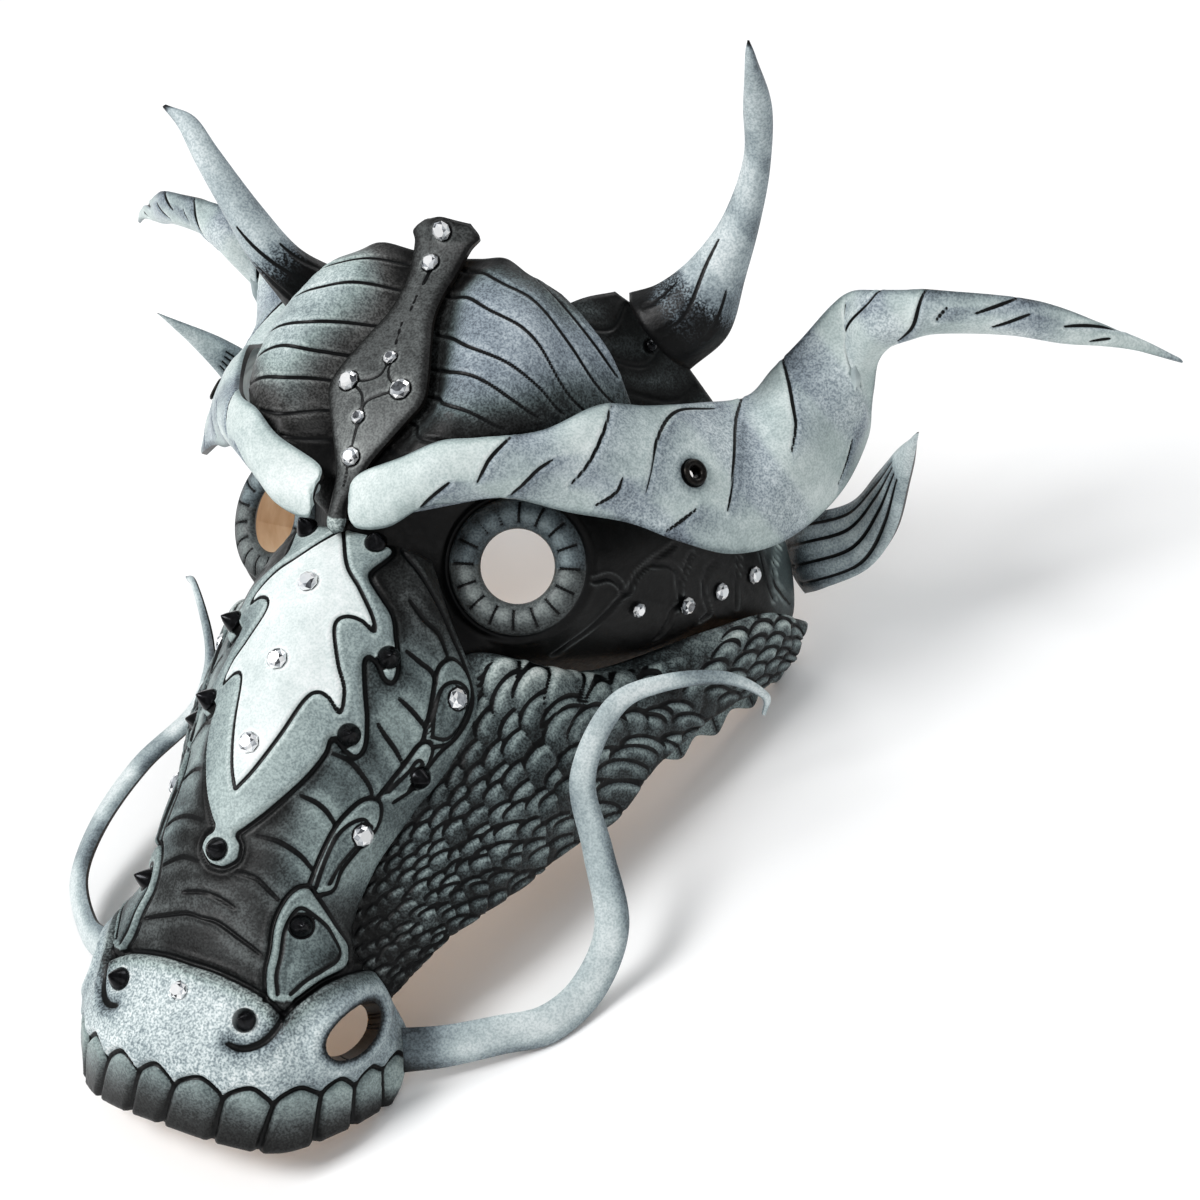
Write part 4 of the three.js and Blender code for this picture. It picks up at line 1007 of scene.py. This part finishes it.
# Scalloped frill under the jaw
frill = {
    "slot": "dark_leather", "columns": 14, "rows": 96, "thickness": 2,
    "tone": 0.34, "scallops": 8, "cut": (0.7, 0.4), "lineHalf": 0.5,
    "guides": [
        [[85.5, 60, -87], [87.5, 62, -93]], [[88.5, 69, -85], [90.5, 73, -97]],
        [[90.5, 78, -83], [92.5, 80, -91]], [[92.5, 88, -82], [94.5, 93, -95]],
        [[94.5, 98, -80], [96.5, 100, -88]], [[96.5, 108, -79], [98.5, 114, -92]],
        [[97.5, 118, -79], [99.5, 120, -86]], [[98.5, 126, -77], [100.5, 132, -88]],
        [[99.5, 134, -76], [101.5, 139, -83]],
    ],
}


def buildFrills():
    grid = evenGrid(surface(frill["guides"]), frill)
    lines = reach(grid, [[(0.1, k / frill["scallops"]), (0.9, k / frill["scallops"])] for k in (1, 3, 5, 7)])
    paint = primed(grid, frill["tone"] + 0.2 * blend(0, 3, lines), 0.5, 0.1, lines / frill["lineHalf"])
    leatherPair("jaw_frill", frill, grid, cut(lines, *frill["cut"]), paint)


# Dark band behind the dome, from the crest down to the brow horn
crownBand = {
    "slot": "dark_leather", "columns": 40, "rows": 60, "thickness": 2.6,
    "tone": 0.08, "paleTone": 0.24, "cut": (0.7, 0.7), "lineHalf": 0.6,
    "guides": [
        [[54, 90, 62], [48, 78, 61.5], [40, 66, 57.5]], [[65, 96, 52], [58, 81, 50], [50, 68, 53]],
        [[75, 104, 35], [68, 88, 35], [61, 70, 38]], [[83, 112, 19], [78, 96, 18], [67, 73, 22]],
    ],
    "lines": drawn(
        [100, 150, 500, 300, 950, 250], [80, 500, 500, 600, 950, 500], [100, 800, 500, 850, 950, 750]),
}


def buildCrownBands():
    grid = evenGrid(surface(crownBand["guides"]), crownBand)
    lines = reach(grid, crownBand["lines"], taper=0.3)
    pale = crownBand["paleTone"] * blend(0, 7, lines) * blend(0.2, 0.7, wander(grid, 10, 2))
    tone = crownBand["tone"] + pale - 0.1 * hump(0, 2.5, grid.border)
    paint = primed(grid, tone, 0.65, 0.07, lines / crownBand["lineHalf"])
    leatherPair("crown_band", crownBand, grid, cut(lines, *crownBand["cut"]), paint)


# Brow horn, from the knob along the brow and out to the tip
browHorn = {
    "slot": "pale_leather", "columns": 68, "rows": 340, "thickness": 2.6, "tipThickness": 0.5,
    "tone": 0.78, "stepShade": 0.22, "stepLength": 10, "eyeletHole": 3, "cut": (0.75, 0.8), "lineHalf": 0.72,
    "stations": [
        (5.8, -0.8, 12.4, 6.5, -3.5, 4, 1.5), (8.5, 2.5, 16.5, 10, -4, -1, 3), (24, 2, 24, 22, -3, 1, 4),
        (36, 7, 30, 33, 1, 8, 5), (47, 13, 31, 42, 8, 9, 5), (60, 29, 31, 55, 17, 10, 6),
        (71, 48, 36, 70, 30, 4, 6), (79, 67, 32, 85, 43, -1, 7), (86, 90, 28, 98, 53, -8, 8),
        (92, 113, 25, 111, 68, -15, 9), (99, 118, 34, 120, 92, -16, 9), (107, 124, 44, 124, 125, -10, 9),
        (116, 128, 56, 127, 141, 6, 9), (123, 128, 62, 130, 137, 24, 9), (134, 123, 65, 135, 130, 40, 9),
        (144, 124, 66, 143, 134, 48, 9), (153, 123, 67, 153, 140, 51, 8), (176, 136, 65, 174, 145, 51, 7),
        (190, 146, 61, 190, 155, 47, 6), (208, 162, 51, 209, 161, 45, 3), (224, 175, 41, 225, 175, 39, 1),
    ],
    "lines": drawn(
        [12, 707, 230, 677, 405, 590], [5, 796, 340, 769, 693, 734], [193, 812, 367, 802],
        [20, 856, 288, 827], [223, 869, 492, 837], [313, 903, 100, 946], [503, 936, 615, 921],
        [0, 520, 248, 511, 402, 508, 533, 499], [0, 446, 212, 432, 478, 430, 778, 433],
        [75, 414, 80, 375, 343, 354, 758, 352], [792, 404, 970, 385], [717, 568, 902, 546],
        [30, 227, 327, 213, 622, 209], [460, 267, 593, 257, 942, 248], [30, 311, 513, 299, 750, 289],
        [600, 178, 958, 147], [655, 330, 778, 328, 910, 316], [90, 639, 637, 620],
    ),
}


# Shade on the far side of each groove, fading along the strip
def steppedShade(grid, lines, length):
    total = lengthOf(grid)
    shade = np.zeros(grid.u.shape)
    for line in lines:
        us, vs = np.array(sorted(line)).T
        if us[-1] - us[0] > 0.15:
            past = (grid.v - np.interp(grid.u, us, vs)) * total
            across = blend(us[0] - 0.08, us[0] + 0.04, grid.u) * blend(us[-1] + 0.12, us[-1] - 0.06, grid.u)
            shade = np.maximum(shade, across * np.exp(-np.maximum(past, 0) / length) * blend(-0.8, 0.4, past))
    return shade


def buildBrowHorns():
    grid = evenGrid(archedStrip(browHorn["stations"]), browHorn)
    lines = reach(grid, browHorn["lines"], taper=0.3)
    base, axis, _ = seats["eyelet_left"]
    place = asWorn(base)
    out = unit(asWorn(base + axis * 0.01) - place)
    long = unit(np.cross(out, [0, 0, 1]))
    drill = ovalHole(place, long, np.cross(out, long), out,
                     browHorn["eyeletHole"], browHorn["eyeletHole"], 10)
    away = np.linalg.norm(grid.p - place, axis=2)
    steps = steppedShade(grid, browHorn["lines"], browHorn["stepLength"])
    smudge = blend(0.5, 0.8, wander(grid, 12, 5)) * blend(0.1, 0.25, grid.v)
    # paler toward the knob, and a painted highlight along the middle of the arched strip
    tone = browHorn["tone"] + 0.1 * blend(0.14, 0.02, grid.v) + 0.05 * np.sin(grid.u * math.pi)
    tone = tone - browHorn["stepShade"] * steps - 0.06 * smudge - 0.4 * hump(3.5, 2.5, away)
    # pale lip beside each groove: dry-brushed paint and painted highlight
    tone = tone - 0.22 * hump(0, 1.6, grid.border) + 0.06 * hump(1.5, 0.5, lines)
    hue, speckle = 0.45 - 0.3 * np.clip(steps + 0.7 * smudge, 0, 1), 0.04 + 0.05 * np.maximum(steps, smudge)
    paint = primed(grid, tone, hue, speckle, lines / browHorn["lineHalf"])
    leatherPair("brow_horn", browHorn, grid, cut(lines, *browHorn["cut"]), paint, hole=drill)


# Crown horns stand up behind the dome; the two differ because each was bent by hand
crownHorn = {
    "slot": "pale_leather", "columns": 38, "rows": 130, "thickness": 2, "tipThickness": 0.5,
    "tone": 0.8, "rootTone": 0.03, "rootEnd": 0.3, "tipShade": 0.55, "cut": (0.7, 0.7), "lineHalf": 0.8,
    "left": [
        (57, 93, 61.5, 80.5, 94, 36.5, 14), (68, 94, 66, 92, 100, 49, 13), (78, 98, 75, 96, 104, 68, 9),
        (87, 102, 89, 99, 108, 87, 6), (94, 102, 109, 103, 106, 106, 4.5), (97, 94, 127, 106, 99, 127, 4.5),
        (103, 83, 144, 107, 84, 143, 2), (105, 80, 149, 106, 80, 149, 0.5),
    ],
    "right": [
        (-73.5, 78, 40, -62.5, 92.5, 56, 12), (-85, 71, 60, -71, 82, 65, 10), (-92, 68, 74, -82, 76, 80, 7),
        (-103, 66, 94, -96, 72, 99, 5), (-110, 66, 106, -105, 71, 110, 3),
        (-116, 66, 113, -115, 67, 114, 0.5),
    ],
    "lines": drawn([285, 367, 457, 172, 533, 33], [693, 250, 752, 60], [200, 200, 280, 40]),
}


def buildCrownHorns():
    for word in ("left", "right"):
        grid = evenGrid(archedStrip(crownHorn[word]), crownHorn)
        lines = reach(grid, crownHorn["lines"], taper=0.3)
        edge = blend(0.05, crownHorn["rootEnd"], grid.v + 0.08 * (wander(grid, 6, 4) - 0.5))
        tone = crownHorn["rootTone"] + (crownHorn["tone"] - crownHorn["rootTone"]) * edge
        # darker over one half of the arched strip: painted shade
        tone = tone - 0.16 * blend(0.45, 0.9, grid.u) - 0.1 * blend(0.6, 0.9, wander(grid, 8, 4))
        tone = tone - crownHorn["tipShade"] * blend(0.93, 1, grid.v) - 0.16 * hump(0, 1.5, grid.border)
        paint = primed(grid, tone, 0.25, 0.06 + 0.16 * hump(0.4, 0.3, edge), lines / crownHorn["lineHalf"])
        leatherPiece(f"crown_horn_{word}", crownHorn, grid, cut(lines, *crownHorn["cut"]), paint)


# Ears behind the jaw corner
ear = {
    "slot": "pale_leather", "columns": 40, "rows": 100, "thickness": 2.6, "tipThickness": 0.5,
    "tone": 0.7, "rootShade": 0.34, "lineAt": (0.15, 0.36, 0.6, 0.84), "cut": (0.8, 0.8), "lineHalf": 0.75,
    "stations": [
        (90, 156, -34, 99, 154, -62, 4), (101, 150, -28, 111, 144, -54, 5), (118, 148, -20, 128, 143, -43, 5),
        (131, 141, -4, 140, 136, -25, 4), (144, 126, 11, 149, 123, -1, 3), (158, 105, 24, 159, 105, 24, 0.5),
    ],
}


def buildEars():
    grid = evenGrid(archedStrip(ear["stations"]), ear)
    grooves = [[(k, 0.06), (k + 0.03, 0.4), (0.5 + (k - 0.5) * 0.6, 0.78)] for k in ear["lineAt"]]
    lines = reach(grid, grooves, taper=0.4)
    tone = ear["tone"] - ear["rootShade"] * blend(0.35, 0.0, grid.v) - 0.2 * blend(0.3, 0.0, grid.u)
    tone = tone - 0.12 * hump(0, 2, lines) - 0.1 * blend(0.5, 0.8, wander(grid, 8, 6))
    tone = tone + 0.14 * blend(0.6, 1, grid.v)
    paint = primed(grid, tone, 0.3, 0.06, lines / ear["lineHalf"])
    leatherPair("ear", ear, grid, cut(lines, *ear["cut"]), paint)


# Whiskers: thin curled strips from the nostrils; the two differ because each was bent by hand
whisker = {
    "slot": "pale_leather", "columns": 16, "rows": 220, "thickness": 2, "tipThickness": 0.5,
    "tone": 0.78, "rootTone": 0.34,
    "left": [
        (59.2, -59, -152, 0.3, -0.9, 0.1, 17, 60), (70, -50, -152, 0.3, -0.9, 0.1, 16, 60),
        (83, -39, -150, 0.3, -0.9, 0.1, 15, 60), (95, -27, -148, 0.3, -0.9, 0.1, 14.5, 60),
        (102, -13, -139, 0.5, -0.8, 0.1, 13.5, 60), (104, -3, -121, 0.5, -0.8, 0.1, 12.5, 60),
        (94, 5, -100, 0.5, -0.8, 0, 11, 60), (86, 10, -78, 0.5, -0.8, 0, 9.5, 60),
        (91, 22, -57, 0.5, -0.8, 0, 8.5, 60), (102, 34, -51, 0.4, -0.9, 0, 7, 60),
        (117, 50, -52, 0.3, -0.9, 0, 5.5, 50), (126, 62, -61, 0.3, -0.9, 0, 3.5, 50),
        (124, 66, -70, 0.3, -0.9, 0, 1.5, 40),
    ],
    "right": [
        (-59.8, -58.5, -152, -0.3, -0.9, 0.1, 17, 60), (-68, -55, -153, -0.3, -0.9, 0.1, 16, 60),
        (-82, -49, -153, -0.3, -0.9, 0.1, 15, 60), (-95, -38, -141, -0.3, -0.9, 0.1, 14, 60),
        (-98, -21, -126, -0.3, -0.9, 0.1, 12.5, 60), (-95, 1, -111, -0.3, -0.9, 0.1, 11, 60),
        (-86, 20, -98, -0.3, -0.9, 0, 9.5, 60), (-84, 28, -86, -0.3, -0.9, 0, 8.5, 60),
        (-88, 35, -74, -0.3, -0.9, 0, 7, 60), (-105, 50, -62, -0.3, -0.9, 0, 5.5, 50),
        (-120, 64, -66, -0.3, -0.9, 0, 1.5, 40),
    ],
}


def buildWhiskers():
    for word in ("left", "right"):
        grid = evenGrid(curledStrip(whisker[word]), whisker)
        tone = whisker["rootTone"] + (whisker["tone"] - whisker["rootTone"]) * blend(0.02, 0.12, grid.v)
        # painted highlight along the middle of the curled strip and painted shade toward one edge
        tone = tone + 0.08 * np.sin(grid.u * math.pi) - 0.18 * blend(0.4, 0.8, wander(grid, 11, 8))
        paint = primed(grid, tone - 0.2 * blend(0.55, 1, grid.u), 0.3, 0.05)
        leatherPiece(f"whisker_{word}", whisker, grid, np.zeros(grid.u.shape), paint)


# Stones are rings of (radius, height, turn), in parts of their radius and of a side. Studs, rivets and
# eyelets are profiles of (radius, height): heights in mm, radii in mm for eyelets, else in parts of theirs.
trim = {
    "stoneRings": [(1.0, 0.0, 0), (1.0, 0.14, 0), (0.82, 0.42, 0.5), (0.55, 0.6, 0)], "stoneSides": 8,
    "sink": 0.3, "lobeLift": 0.6, "steps": {"spike": 28, "rivet": 20, "eyelet": 40},
    "spike": [(0, 0), (1, 0), (1, 0.7), (0.9, 1.4), (0.7, 2.5), (0.4, 4), (0.1, 5.2), (0, 5.4)],
    "rivet": [(0, 0), (1, 0), (0.75, 1.2), (0, 2.4)],
    "eyelet": [(2.0, -4), (2.6, -4), (2.6, 0), (4.1, 0), (4.5, 0.3), (4.3, 0.9), (3.6, 1.3), (2.7, 1.1),
               (2.1, 0.4), (2.0, -4)],
    "slots": {"stone": "clear_stone", "spike": "black_metal", "rivet": "black_metal",
              "eyelet": "eyelet_metal"},
}


def turned(bm, profile, steps, placing):
    verts = [bm.verts.new((r / 1000, 0, h / 1000)) for r, h in profile]
    edges = [bm.edges.new(pair) for pair in zip(verts, verts[1:])]
    bmesh.ops.spin(bm, geom=verts + edges, cent=(0, 0, 0), axis=(0, 0, 1), angle=2 * math.pi, steps=steps,
                   use_merge=True)
    bmesh.ops.remove_doubles(bm, verts=bm.verts, dist=1e-6)
    bmesh.ops.recalc_face_normals(bm, faces=bm.faces)
    bmesh.ops.transform(bm, matrix=placing, verts=bm.verts)
    for face in bm.faces:
        face.smooth = True


def facetedStone(bm, radius, placing):
    sides = trim["stoneSides"]
    for part, high, twist in trim["stoneRings"]:
        twisted = Matrix.Rotation(2 * math.pi * twist / sides, 4, "Z")
        ring = Matrix.Translation((0, 0, high * radius)) @ twisted
        bmesh.ops.create_circle(bm, segments=sides, radius=part * radius, matrix=placing @ ring)
    bmesh.ops.convex_hull(bm, input=bm.verts)
    bmesh.ops.dissolve_limit(bm, angle_limit=0.02, verts=bm.verts, edges=bm.edges)
    paintedGlint = bm.verts.layers.float.new("paintedGlint")
    bmesh.ops.split_edges(bm, edges=bm.edges)  # each facet keeps its own glint
    for face in bm.faces:
        # painted glint: a random brightness for each facet, painted into the glass colour
        paintedGlintTone = random.choice((0.05, 0.3, 0.55, 0.8, 0.95))
        for vert in face.verts:
            vert[paintedGlint] = paintedGlintTone


def buildTrim():
    mats = {name: plainFinish(name) for name in ("black_metal", "eyelet_metal")}
    mats["clear_stone"] = cutGlass()
    for name in trimNames:
        base, axis, radius = seats[name]
        kind = next(word for word in trim["slots"] if word in name)
        lift = trim["lobeLift"] if "lobe_stone" in name else 0
        lift -= trim["sink"] if kind in ("stone", "spike") else 0
        placing = (Matrix.Translation(base + axis * lift / 1000)
                   @ Vector((0, 0, 1)).rotation_difference(axis).to_matrix().to_4x4())
        bm = bmesh.new()
        if kind == "stone":
            facetedStone(bm, radius, placing)
        else:
            size = 1 if kind == "eyelet" else radius * 1000
            turned(bm, [(r * size, h) for r, h in trim[kind]], trim["steps"][kind], placing)
        slotName = trim["slots"][kind]
        finishPiece(bm, name + "_trim", name, [mats[slotName]])
    print("made trim", len(trimNames))


addCamera()
addStage()
leatherMats.update(painted=paintedLeather(), raw=plainFinish("raw_leather"),
                   washed=plainFinish("washed_leather"), edge=plainFinish("cut_edge"))
print("made materials")
for build in (buildSnout, buildForehead, buildCrest, buildEyeMasks, buildCheeks, buildFrills, buildCrownBands,
              buildBrowHorns, buildCrownHorns, buildEars, buildWhiskers, buildTrim):
    build()
